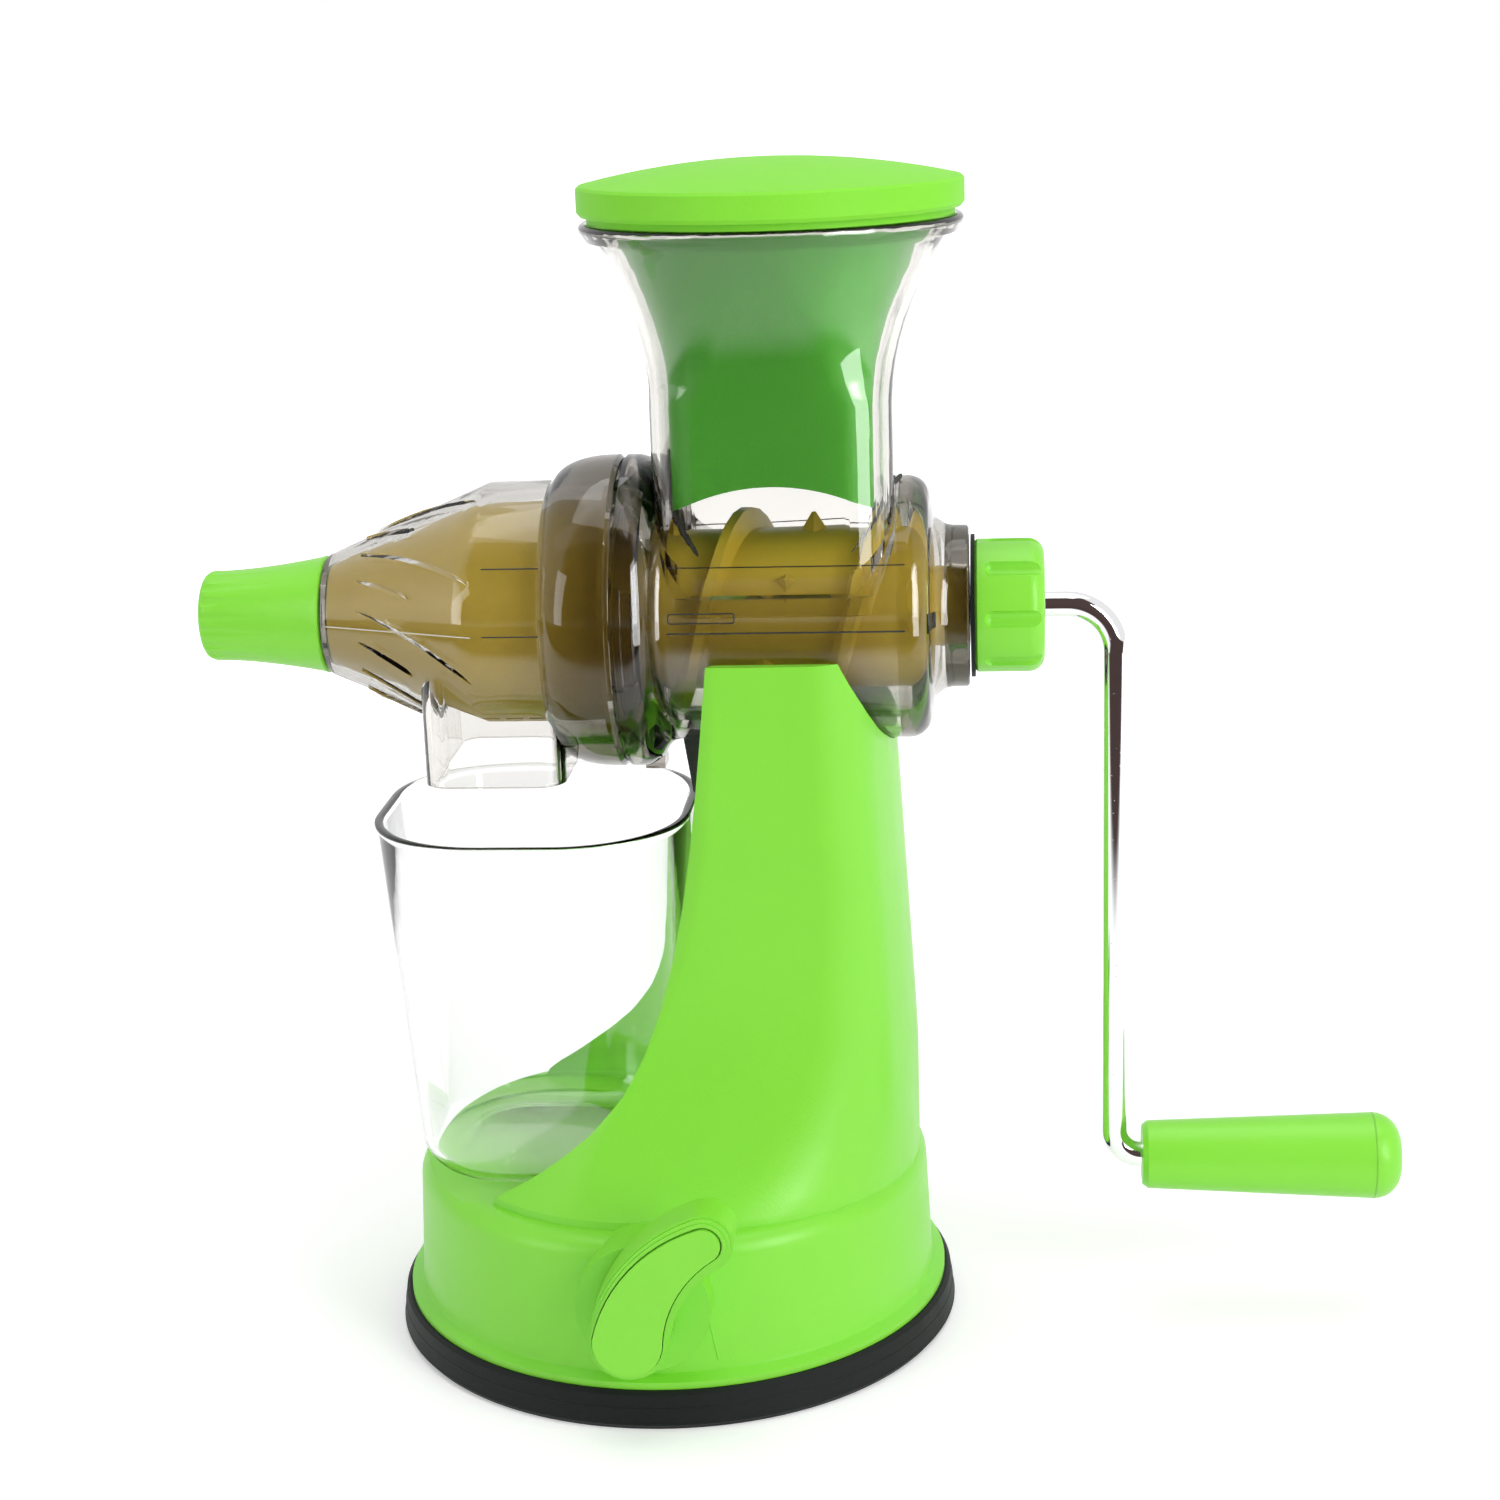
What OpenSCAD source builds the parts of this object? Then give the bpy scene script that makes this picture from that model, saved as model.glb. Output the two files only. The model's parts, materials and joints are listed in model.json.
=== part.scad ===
// Hand juicer with a horizontal screw in a clear barrel, on a stand with a suction base.
// The origin is the middle of the pad's underside, the barrel runs along X and +Z is up.

/* [Barrel] */
// Height of the barrel's axis above the worktop
axis_h = 189; // [186:0.5:200]
// Outer radius of the barrel
barrel_r = 32.7; // [32.2:0.1:33.2]
// Radius of the bore that the screw turns in
bore_r = 26; // [25.6:0.1:26.2]
// Wall of the clear mouldings
clear_wall = 2.2; // [1.8:0.1:2.6]
// Wall of the feed tube inside the barrel
tube_wall = 1.8; // [1.5:0.1:2.1]
// Place of the joint face between barrel and front cover
split_x = -5.6; // [-6.5:0.1:-4.5]
// Place where the straight barrel ends
barrel_end = 65; // [64:0.5:66]
// Outer radius of the flange at the joint face
flange_r = 39.2; // [38.8:0.1:40.5]
// Radius of the flange's rounded back
flange_round = 7; // [6.5:0.1:7.5]
// Radius of the hollow between flange and barrel
flange_foot = 4; // [3:0.1:5]
// Radius of the neck that the drive turns in
neck_r = 20.2; // [18:0.1:22]
// Place of the neck's end face
neck_end = 80; // [79.5:0.1:82]
// Radius of the barrel's rounded shoulder
shoulder_r = 5.5; // [5:0.1:6]
// Radius of the hollow between shoulder and neck
neck_round = 5.3; // [5:0.1:5.6]
// Radius of the screw's journal in the neck
journal_r = 10; // [9:0.1:11]

/* [Hopper] */
// Place of the hopper's centre along the barrel
hopper_x = 33; // [31:0.5:34]
// Half width of the square throat
throat_half = 29.3; // [28.8:0.1:29.8]
// Corner radius of the throat
throat_corner = 12; // [10:0.5:14]
// Height of the throat above the axis, where the flare starts
throat_h = 54; // [50:0.5:58]
// Height of the flare
flare_h = 42.8; // [38:0.5:48]
// Radius of the hopper's round rim
rim_r = 45.9; // [43:0.1:48]
// Height of the bead round the rim
bead_h = 4.3; // [3.5:0.1:6]

/* [Front cover] */
// Radius of the cover's straight part
cover_r = 33; // [32.5:0.1:33.5]
// Place where the cone starts
cone_start = -39.5; // [-41:0.5:-38]
// Place of the cone's small end
cone_end = -82; // [-84:0.5:-80]
// Radius of the cone's small end
cone_tip_r = 15.6; // [15:0.1:17]
// Number of slanted ribs on the cone, long and short in turn
rib_count = 16; // [12:2:20]
// Length of a long rib along the barrel
rib_long = 29.8; // [26:0.1:30]
// Length of a short rib along the barrel
rib_short = 14; // [10:0.5:18]
// Width of a rib
rib_w = 3.2; // [2.4:0.1:4]
// Width of the juice spout along the barrel
spout_l = 35.4; // [32:0.1:36]
// Width of the juice spout across the barrel
spout_w = 52; // [46:0.5:53]
// Place of the spout's centre
spout_x = -38.3; // [-39:0.1:-38]
// Height of the spout's mouth above the worktop
spout_z = 149.8; // [149.2:0.1:152]
// Corner radius of the spout
spout_round = 7; // [6:0.5:8]
// Number of bayonet lugs
lug_count = 4; // [3:1:5]
// Length of the nose that the knob screws on
nose_l = 18; // [15:0.5:20]
// Radius of the nose
nose_r = 9.4; // [9:0.1:9.6]

/* [Strainer and screw] */
// Radius of the strainer inside
strainer_r = 26; // [25.6:0.1:26.2]
// Wall of the strainer
strainer_wall = 1.6; // [1.2:0.1:2]
// Number of slots in one row of the strainer
slot_count = 7; // [5:1:9]
// Width of a slot
slot_w = 1.2; // [0.8:0.1:1.6]
// Length of a slot
slot_l = 4.4; // [3.6:0.1:5]
// Radius of the screw's core
core_r = 20; // [18:0.5:21]
// Radial gap between the screw's flight and its bore
flight_gap = 0.6; // [0.4:0.1:1]
// Rise of the flight in one turn
flight_pitch = 36; // [32:1:40]
// Thickness of the flight at its root
flight_root = 6; // [4:0.5:8]
// Thickness of the flight at its edge
flight_edge = 2.4; // [2:0.1:3.5]
// Number of crushing teeth on the core
tooth_count = 9; // [5:1:12]
// Half width of a tooth at its foot
tooth_r = 3.6; // [3:0.1:4.5]

/* [Knob and crank] */
// Length of the pulp knob
knob_l = 32; // [30:0.5:36]
// Radius of the knob's flange
knob_flange_r = 14.9; // [14.6:0.1:15.4]
// Radius of the knob's grip
knob_r = 11.4; // [10.9:0.1:11.8]
// Number of flutes round the knob
knob_flutes = 18; // [14:1:20]
// Depth of the flutes at the knob's end
flute_depth = 0.9; // [0.6:0.1:1.1]
// Radius of the pulp outlet
outlet_r = 5.5; // [4:0.5:6.5]
// Radius of the drive nut
nut_r = 16.6; // [15.5:0.1:18]
// Length of the drive nut
nut_l = 17.2; // [16:0.1:20]
// Number of flutes round the nut
nut_flutes = 8; // [6:1:10]
// Diameter of the crank rod
rod_d = 6.5; // [6:0.1:7]
// Radius of the rod's upper bend
bend_r = 12; // [10:0.5:14]
// Radius of the rod's bend at the grip
grip_bend_r = 7; // [6:0.5:10]
// Place of the crank's long run
crank_x = 116; // [114:0.1:120]
// Distance from the axis to the middle of the grip
crank_throw = 147.4; // [130:0.1:150]
// Length of the grip
grip_l = 66.4; // [60:0.1:75]
// Diameter of the grip at the crank
grip_d = 17.6; // [16:0.1:20]
// Diameter of the grip at its far end
grip_end_d = 22.2; // [20:0.1:26]

/* [Pusher] */
// Radius of the lid
lid_r = 46.9; // [44:0.1:49]
// Height of the lid's upright edge
lid_edge = 7; // [5:0.1:9]
// Height of the lid's dome over its edge
lid_dome = 5.5; // [3:0.1:7]
// Gap between the rim and the lid's edge
lid_lift = 1.6; // [1:0.1:2.5]
// Gap between the plunger and the hopper's wall
plunger_gap = 2.6; // [2:0.1:4]
// Wall of the plunger
plunger_wall = 2.4; // [2:0.1:3]
// Height of the plunger's lowest points above the axis
plunger_low = 28.5; // [28:0.1:30]
// Rise of the arch in the plunger's lower edge
arch_rise = 6.4; // [4:0.1:8]

/* [Cup] */
// Place of the cup's centre
cup_x = -31.5; // [-32.5:0.1:-31]
// Height of the cup
cup_h = 94; // [80:0.5:95]
// Half width of the cup's rim
cup_half = 39.8; // [38:0.1:40]
// Half width of the cup low down
cup_low_half = 33.2; // [32:0.1:33.5]
// Half length of the straight stretch of each side of the cup
cup_flat = 9; // [6:0.5:11]
// Radius of the cup's bottom edge
cup_edge = 9; // [7:0.5:10]
// Wall of the cup
cup_wall = 1.8; // [1.5:0.1:2.4]

/* [Stand] */
// Wall of the stand
stand_wall = 3; // [2.5:0.1:3.2]
// Radius of the round base
drum_r = 68; // [67:0.5:68.5]
// Width of the lip round the base's foot
drum_lip = 3.2; // [2.5:0.1:3.4]
// Height of the shoulder over the base
ledge_z = 46.3; // [46:0.1:47]
// Width of the shoulder
ledge_w = 6.5; // [6:0.5:8]
// Half depth of the column
tower_half = 35; // [34.5:0.1:36]
// Reach of the column's right side from the stand's axis, at the top
tower_right = 60; // [59:0.5:61]
// Place of the column's left side at the top
tower_left = 11; // [9:0.5:13]
// Radius of the column's right corners
tower_corner = 16.4; // [15:0.1:18]
// Height of the column's front wall below the axis
tower_drop = 7; // [5:0.5:9]
// Radius of the bay that holds the cup, at the bottom
bay_r = 45; // [44.5:0.5:46]
// Widening of the bay over its height
bay_draft = 18.5; // [16:0.5:19]
// Height of the cup's seat
seat_z = 44.5; // [44:0.1:44.8]
// Depth of the seat
seat_lip = 1; // [0.8:0.1:1]
// Radius of the seat
seat_r = 34.2; // [33.8:0.1:34.6]
// Half width of the barrel's foot
foot_half = 8; // [6:0.5:9]
// Depth of the foot below the barrel
foot_h = 13; // [11:0.5:14]

/* [Suction] */
// Radius of the rubber pad
pad_r = 73.8; // [73:0.1:76]
// Height of the pad's ring
pad_h = 9.8; // [9:0.1:11]
// Thickness of the pad's middle
pad_skin = 2.6; // [2:0.1:3]
// Radius of the plate on the pad's middle
plate_r = 40; // [34:1:44]
// Height of the lever's axis
lever_z = 32; // [31.8:0.1:32.2]
// Radius of the boss behind the lever
boss_r = 16.5; // [16:0.1:18]
// Thickness of the lever
lever_t = 11.5; // [10.5:0.5:13]
// Angle that the lever turns through
lever_turn = 100; // [80:5:100]
// Radius of the lever's shaft
shaft_r = 6; // [5.8:0.1:6.2]
// Offset of the shaft's end pin
throw_e = 2; // [1.6:0.1:2.1]
// Radius of the shaft's end pin
pin_r = 2.5; // [2.2:0.1:2.6]
// Radius of the pad's stem
stem_r = 3; // [2.6:0.1:3.4]
// Turns of the pad's spring
spring_turns = 4; // [3:1:4]
// Mean radius of the pad's spring
spring_r = 7.5; // [7:0.1:9]
// Wire of the pad's spring
spring_wire = 1.5; // [1.2:0.1:1.6]
// Thickness of the bridge under the seat
guide_t = 3; // [2.6:0.1:3.2]
// Radius of the screws
screw_r = 1.6; // [1.4:0.1:1.8]

/* [Fits] */
// Radial play of a shaft in its hole
run_fit = 0.06; // [0.03:0.01:0.09]
// Gap between faces that move past each other
slip = 0.3; // [0.3:0.05:0.4]
// Gap between fixed pieces that slide together
seat_gap = 0.2; // [0.1:0.05:0.3]
// Gap that the glue fills between the barrel and its foot
bond_gap = 0.02; // [0.01:0.01:0.04]

/* [Hidden] */
$fn = 72;
// A small overlap between shapes of one piece
eps = 0.4;
lime = "#82e13c";
smoke = "#6b645c";

// Barrel
tube_r = bore_r + tube_wall;
shell_in = barrel_r - clear_wall;
mouth_r = flange_r - 2.6;
mouth_x = split_x + 6.6;
feed_end = barrel_end;
jacket_end = barrel_end - 2;
neck_x = barrel_end + shoulder_r + neck_round + 0.4;
claw_t = 2.4;
claw_in = mouth_r - 2;
claw_arc = 40;

// Hopper
flare_z = axis_h + throat_h;
rim_z = flare_z + flare_h;
flare_power = 1.9;
flare_rings = 9;
throat_in = throat_half - clear_wall;
rim_in = rim_r - clear_wall;
throat_floor = axis_h + 8;

// Front cover
cover_face = split_x - slip;
cover_in = cover_r - clear_wall;
collar_start = -23;
collar_top = -9;
spigot_out = claw_in - 0.4;
spigot_in = 31.4;
spigot_end = mouth_x - 1.9;
lug_x = split_x + claw_t + slip;
lug_arc = 36;
nose_end = cone_end - nose_l;
nose_bore = nose_r - 2.2;
nose_wall = 2;
gasket_t = 1.6;

// Strainer and screw
strainer_out = strainer_r + strainer_wall;
strainer_face = cover_face - 0.1;
strainer_cone = cone_start - 2;
strainer_end = cone_end + nose_wall + slip;
strainer_tip_r = cone_tip_r - clear_wall - strainer_wall - slip;
flange_t = 3;
flight_r = strainer_r - flight_gap;
screw_start = feed_end - slip;
screw_end = strainer_end + 4;
screw_tip_r = 8;
flight_tip_r = strainer_tip_r - flight_gap;
turn_steps = 24;
flight_crest = 24;
flight_start = screw_start - 4;
flight_l = flight_start - screw_end - 4;
flight_steps = round(turn_steps * flight_l / flight_pitch);
tooth_h = 5.2;

// Drive
washer_t = 1;
nut_x = neck_end + slip + washer_t;
nut_end = nut_x + nut_l;
stud_r = 5;
stud_start = feed_end - 15;
stud_end = nut_end - 9;
rod_r = rod_d / 2;
rod_start = stud_end + 0.2;
grip_z = axis_h - crank_throw;
grip_x = crank_x + grip_bend_r + 0.2;
clip_x = grip_x + grip_l - 14;
rod_end = clip_x + 3;

// Pulp knob
knob_x = cone_end - slip;
knob_end = knob_x - knob_l;
seal_w = 1.6;

// Pusher
arch_half = throat_in - plunger_gap;
arch_r = (pow(arch_half, 2) + pow(arch_rise, 2)) / (2 * arch_rise);
arch_z = axis_h + plunger_low + arch_rise - arch_r;
lid_z = rim_z + lid_lift;

// Stand
tower_top = axis_h - tower_drop;
loft_r = drum_r - ledge_w;
tower_foot = drum_r - 2.7;
tower_rings = 12;
tower_fade = 20;
left_fade = 32;
corner_fade = 12;
right_lean = 0.05;
bay_top = axis_h + barrel_r;
seat_floor = seat_z + seat_lip;
ceiling_z = seat_z - stand_wall;
trough_r = barrel_r + seat_gap;
foot_z = axis_h - barrel_r - foot_h;
foot_x0 = 8;
foot_x1 = barrel_end - 8;
foot_screw_x = 42;
foot_lean = 1.8;

// Suction drive
lever_pin = lever_turn / 2;
pin_x = throw_e * cos(lever_pin);
pin_z = lever_z - throw_e * sin(lever_pin);
boss_y = drum_r + 4.5;
lever_y = boss_y + slip;
cap_t = 2;
cap_inset = 1.3;
pin_y = -6;
stem_half = 4;
stem_head_x = 9;
window_half = pin_r + slip;
window_x = throw_e + pin_r + 0.8;
head_top = pin_z + window_half + 1.5;
head_low = pin_z - window_half - 2.5;
plate_z = pad_skin + 3.4;
guide_z = 17;
guide_spots = [[-16, -20], [-16, 20], [9, 14]];
guide_boss_r = 4.5;
bearing_y0 = -22;
bearing_y1 = -10;
clip_y = -54;

// Points of an arc, with x and y from its centre
function arc(cx, cy, r, from, to, steps) =
    [for (i = [0 : steps]) let (a = from + (to - from) * i / steps) [cx + r * cos(a), cy + r * sin(a)]];

// Turns a profile of (place along the barrel, radius) into one of (radius, height)
function swap(points) = [for (p = points) [p[1], p[0]]];

// Level square ring with rounded corners
function square_ring(half, r, z, steps) =
    [for (q = [0 : 3]) for (i = [0 : steps - 1])
        let (a = 90 * (q + (i + 0.5) / steps), to_x = q == 0 || q == 3 ? 1 : -1, to_y = q < 2 ? 1 : -1)
        [to_x * (half - r) + r * cos(a), to_y * (half - r) + r * sin(a), z]];

// Level ring of the column: rounded corners, and a right side that bows about the stand's axis
function column_ring(left, bow, half, rl, rr, z, steps) =
    let (reach = bow - rr, rise = half - rr, turn = asin(rise / reach))
    [for (q = [0 : 3]) for (i = [0 : steps - 1])
        let (a = 90 * (q + (i + 0.5) / steps), to_y = q < 2 ? 1 : -1)
        let (left_c = [left + rl, half - rl, rl], right_c = [reach * cos(turn), rise, rr])
        let (c = cos(a) < 0 ? left_c : cos(a) < cos(turn) ? right_c : [0, 0, bow])
        [c[0] + c[2] * cos(a), to_y * c[1] + c[2] * sin(a), z]];

// Closed skin over rings with the same number of points
module skin(rings) {
    n = len(rings[0]);
    last = len(rings) - 1;
    points = [for (loop = rings) each loop];
    sides = [for (i = [0 : last - 1]) for (j = [0 : n - 1])
        let (a = i * n + j, b = i * n + (j + 1) % n)
        each [[a, a + n, b + n], [a, b + n, b]]];
    low = [for (j = [0 : n - 1]) j];
    high = [for (j = [n - 1 : -1 : 0]) last * n + j];
    polyhedron(points = points, faces = concat([low], sides, [high]), convexity = 8);
}

// Puts upright children along the barrel's axis
module on_axis(x = 0) {
    translate([x, 0, axis_h]) rotate([0, 90, 0]) children();
}

// Turned form about the barrel's axis, from a profile of (place, radius)
module turned(points, angle = 360) {
    on_axis() rotate_extrude(angle = angle) polygon(swap(points));
}

// Upright block with four round corners
module rounded_block(l, w, h, r) {
    for (sx = [-1, 1]) for (sy = [-1, 1])
        translate([sx * (l / 2 - r), sy * (w / 2 - r), 0]) cylinder(h = h, r = r);
    translate([-l / 2, r - w / 2, 0]) cube([l, w - 2 * r, h]);
    translate([r - l / 2, -w / 2, 0]) cube([l - 2 * r, w, h]);
}

// Round base with its foot lip and its soft shoulder, drawn in by a wall
module drum_form(g) {
    draft = 1.2;
    soft = ledge_w - draft;
    low = pad_h - (g > 0 ? eps : 0);
    foot_r = g > 0 ? drum_r - g : drum_r + drum_lip;
    rotate_extrude($fn = 120) polygon(concat(
        [[0, low], [foot_r, low], [foot_r, pad_h + 1.8]],
        [[drum_r - g + 0.4, pad_h + 3], [drum_r - g, pad_h + 4.2]],
        arc(loft_r, ledge_z - soft, soft - g, 0, 90, 8),
        [[0, ledge_z - g]]));
}

// Sizes of the column at a height: left, right, half depth, left corner, right corner
function tower_left_at(z) = tower_left - (tower_left + loft_r) * exp((ledge_z - z) / left_fade);
function tower_half_at(z) = tower_half + (loft_r - tower_half) * exp((ledge_z - z) / tower_fade);
function left_corner_at(z) = 10 + (loft_r - 10) * exp((ledge_z - z) / corner_fade);
function right_corner_at(z) = tower_corner + (loft_r - tower_corner) * exp((ledge_z - z) / tower_fade);
function tower_right_at(z) = min(tower_foot, tower_right + (tower_top - z) * right_lean);
function tower_ring(z, at_z, g) =
    column_ring(tower_left_at(z) + g, tower_right_at(z) - g, tower_half_at(z) - g,
        left_corner_at(z) - g, right_corner_at(z) - g, at_z, 10);

// Column that flares into the base, drawn in by a wall
module tower_form(g) {
    start = ledge_z + 2;
    span = tower_top - start;
    skin(concat([tower_ring(ledge_z, ledge_z - 6 - g, g)],
        [for (i = [0 : tower_rings]) let (z = start + span * pow(i / tower_rings, 1.5))
            tower_ring(z, z, g)]));
}

// Space of the cup's bay, widened by a wall
module bay_form(g) {
    translate([cup_x, 0, seat_floor - g])
        cylinder(h = bay_top - seat_floor + g, r1 = bay_r + g, r2 = bay_r + bay_draft + g, $fn = 120);
    translate([cup_x, 0, g > 0 ? ceiling_z : seat_z]) cylinder(h = 5, r = seat_r + g, $fn = 120);
}

// Trough of the barrel in the column's top, widened by a wall
module trough_form(g) {
    on_axis(-60) cylinder(h = 200, r = trough_r + g, $fn = 120);
}

// Hollow inside the stand, with its ribs, bosses and sockets left out
module stand_hollow() {
    difference() {
        union() {
            drum_form(stand_wall);
            tower_form(stand_wall);
        }
        bay_form(stand_wall);
        trough_form(stand_wall);
        translate([foot_x0, -foot_half - seat_gap - stand_wall, foot_z - seat_gap - stand_wall])
            cube([barrel_end - foot_x0, 2 * (foot_half + seat_gap + stand_wall), foot_h + stand_wall + 5]);
        translate([foot_screw_x, 0, foot_z - 9]) cylinder(h = 10, r = 5);
        for (p = guide_spots)
            translate([p[0], p[1], guide_z + guide_t]) cylinder(h = ledge_z - guide_z, r = guide_boss_r);
        translate([0, 1 - drum_r, lever_z]) rotate([-90, 0, 0]) cylinder(h = 12, r = shaft_r + 3);
    }
}

// Green moulded base and column in one piece
module stand_shell() {
    color(lime) difference() {
        union() {
            drum_form(0);
            tower_form(0);
            translate([0, -boss_y, lever_z]) rotate([-90, 0, 0]) cylinder(h = 16, r = boss_r);
        }
        bay_form(0);
        trough_form(0);
        stand_hollow();
        translate([foot_x0, -foot_half - seat_gap, foot_z])
            cube([foot_x1 + seat_gap - foot_x0, 2 * (foot_half + seat_gap), foot_h + 10]);
        translate([foot_screw_x, 0, foot_z - 10]) cylinder(h = 12, r = screw_r + 0.2);
        for (p = guide_spots)
            translate([p[0], p[1], guide_z]) cylinder(h = guide_t + 10, r = screw_r);
        translate([0, -boss_y - 1, lever_z]) rotate([-90, 0, 0]) cylinder(h = 30, r = shaft_r + run_fit);
    }
}

// Rubber pad with its thick ring and flat middle
module suction_pad() {
    inner = drum_r - stand_wall - 4;
    slope = pad_h - pad_skin;
    color("#202424") rotate_extrude($fn = 120) polygon([[0, 0], [pad_r - 1.2, 0], [pad_r, 1.5],
        [pad_r - 1, pad_h - 0.8], [pad_r - 1.8, pad_h], [inner, pad_h], [inner - 2, pad_h - 2],
        [inner - slope - 2, pad_skin], [0, pad_skin]]);
}

// Plate moulded on the pad's middle
module pad_plate() {
    color("#3a3c3e") difference() {
        union() {
            translate([0, 0, pad_skin]) cylinder(h = plate_z - pad_skin, r = plate_r);
            translate([0, 0, pad_skin]) cylinder(h = plate_z - pad_skin + stem_r, r = spring_r - 2);
        }
        translate([0, 0, pad_skin + 1]) cylinder(h = plate_z, r = stem_r);
    }
}

// Stem with a window for the shaft's end pin
module pad_stem() {
    color("#9a9ea2") difference() {
        union() {
            translate([0, 0, pad_skin + 1]) cylinder(h = head_low - pad_skin, r = stem_r);
            translate([-stem_head_x, -stem_half, head_low])
                cube([2 * stem_head_x, 2 * stem_half, head_top - head_low]);
        }
        translate([-window_x, -stem_half - 1, pin_z - window_half])
            cube([2 * window_x, 2 * stem_half + 2, 2 * window_half]);
    }
}

// Round wire coil between the plate and the bridge
spring_low = plate_z + spring_wire / 2 + 0.05;
spring_high = guide_z - spring_wire / 2 - 0.05;
spring_steps = 8 * spring_turns;
function spring_at(t) = let (a = 360 * spring_turns * t)
    [spring_r * cos(a), spring_r * sin(a), spring_low + (spring_high - spring_low) * t];
function spring_ring(i) = let (t = i / spring_steps, c = spring_at(t), a = 360 * spring_turns * t)
    [for (k = [0 : 5]) let (b = 60 * k, r = spring_wire / 2)
        [c[0] + r * cos(b) * cos(a), c[1] + r * cos(b) * sin(a), c[2] + r * sin(b)]];
spring_gap = min([for (i = [0 : spring_steps - 1]) for (j = [i + 6 : 1 : spring_steps])
    norm(spring_at(j / spring_steps) - spring_at(i / spring_steps)) - spring_wire]);
module pad_spring() {
    echo(spring_gap = spring_gap);
    color("#b8bcc0") skin([for (i = [0 : spring_steps]) spring_ring(i)]);
}

// Bridge under the seat that carries the shaft and guides the stem
module guide_bridge() {
    color("#4a4c50") difference() {
        union() {
            for (p = guide_spots)
                translate([p[0], p[1], guide_z]) cylinder(h = guide_t, r = guide_boss_r + 2);
            translate([-20, -24, guide_z]) cube([30, 48, guide_t]);
            translate([-11, bearing_y0, guide_z])
                cube([22, bearing_y1 - bearing_y0, lever_z + shaft_r - guide_z]);
        }
        translate([0, 0, guide_z - 1]) cylinder(h = guide_t + 2, r = stem_r + run_fit);
        translate([0, bearing_y0 - 1, lever_z]) rotate([-90, 0, 0]) cylinder(h = 14, r = shaft_r + run_fit);
        for (p = guide_spots) {
            translate([p[0], p[1], guide_z - 1]) cylinder(h = guide_t + 2, r = screw_r + 0.2);
        }
    }
}

// Pan head screw that points up from its seat
module pan_screw(length) {
    translate([0, 0, -2.2]) cylinder(h = 2.2, r = 2 * screw_r);
    cylinder(h = length, r = screw_r - 0.05);
}

// Three screws that hold the bridge
module bridge_screws() {
    color("#b8bcc0") for (p = guide_spots) translate([p[0], p[1], guide_z]) pan_screw(guide_t + 5 * screw_r);
}

// Screw that holds the barrel's foot
module foot_screw() {
    color("#b8bcc0") translate([foot_screw_x, 0, foot_z - 9]) pan_screw(9 + foot_h - 4);
}

// Leaf outline of the lever in front view, about its own axis
leaf_bend = 34.5;
leaf_mid = [31.7, -8.6];
leaf_from = 171;
leaf_to = 116;
leaf_wide = 9.9;
leaf_tip = 7.2;
function leaf_half(t, g) = leaf_wide + (leaf_tip - leaf_wide) * pow(t, 1.2) - g * (1 + t);
function leaf_point(t, side, g) = let (a = leaf_from + (leaf_to - leaf_from) * t)
    leaf_mid + (leaf_bend + side * leaf_half(t, g)) * [cos(a), sin(a)];
module leaf(g) {
    start = leaf_mid + leaf_bend * [cos(leaf_from), sin(leaf_from)];
    tip = leaf_mid + leaf_bend * [cos(leaf_to), sin(leaf_to)];
    polygon(concat([for (i = [0 : 12]) leaf_point(i / 12, 1, g)],
        arc(tip[0], tip[1], leaf_half(1, g), leaf_to - 18, leaf_to - 162, 8),
        [for (i = [12 : -1 : 0]) leaf_point(i / 12, -1, g)],
        arc(start[0], start[1], leaf_half(0, g), leaf_from + 165, leaf_from + 15, 10)));
}

// Puts a front outline at a depth in front of the base
module facing(y, t) {
    translate([0, y, lever_z]) rotate([90, 0, 0]) linear_extrude(height = t) children();
}

// Green suction lever with a thick rim round its face
module suction_lever() {
    color(lime) difference() {
        union() {
            facing(-lever_y, lever_t - 1) leaf(0);
            facing(-lever_y, lever_t - 0.4) leaf(0.3);
            facing(-lever_y, lever_t) leaf(0.8);
        }
        facing(-lever_y - lever_t + cap_t, cap_t + 1) leaf(cap_inset);
        translate([0, -lever_y - lever_t + cap_t + 3.2, lever_z]) rotate([-90, 0, 0])
            cylinder(h = lever_t, r = shaft_r + run_fit);
        translate([0, -lever_y - lever_t, lever_z]) rotate([-90, 0, 0]) cylinder(h = lever_t, r = 2.2);
    }
}

// Leaf face set into the lever
module lever_cap() {
    color(lime) difference() {
        facing(-lever_y - lever_t + cap_t, cap_t + 0.6) leaf(cap_inset + 0.2);
        translate([0, -lever_y - lever_t + cap_t + 1, lever_z]) rotate([90, 0, 0])
            cylinder(h = 2.4, r = 4.4);
    }
}

// Shaft from the lever to the stem, with an offset pin at its end
module lever_shaft() {
    front = -lever_y - lever_t + cap_t + 3.3;
    color("#9a9ea2") difference() {
        union() {
            translate([0, front, lever_z]) rotate([-90, 0, 0]) cylinder(h = pin_y - front, r = shaft_r);
            translate([pin_x, pin_y - 1, pin_z]) rotate([-90, 0, 0]) cylinder(h = 13, r = pin_r);
        }
        translate([0, front - 1, lever_z]) rotate([-90, 0, 0]) cylinder(h = 15, r = 1.9);
        translate([0, clip_y, lever_z]) rotate([-90, 0, 0]) difference() {
            cylinder(h = 1.2, r = shaft_r + 1);
            translate([0, 0, -1]) cylinder(h = 4, r = shaft_r - 1);
        }
    }
}

// Screw under the leaf face that holds the lever on its shaft
module lever_screw() {
    y = -lever_y - lever_t + cap_t;
    color("#b8bcc0") translate([0, y, lever_z]) rotate([-90, 0, 0]) {
        translate([0, 0, -1.2]) cylinder(h = 1.2, r = 4);
        translate([0, 0, -0.1]) cylinder(h = 14, r = 1.85);
    }
}

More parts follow.
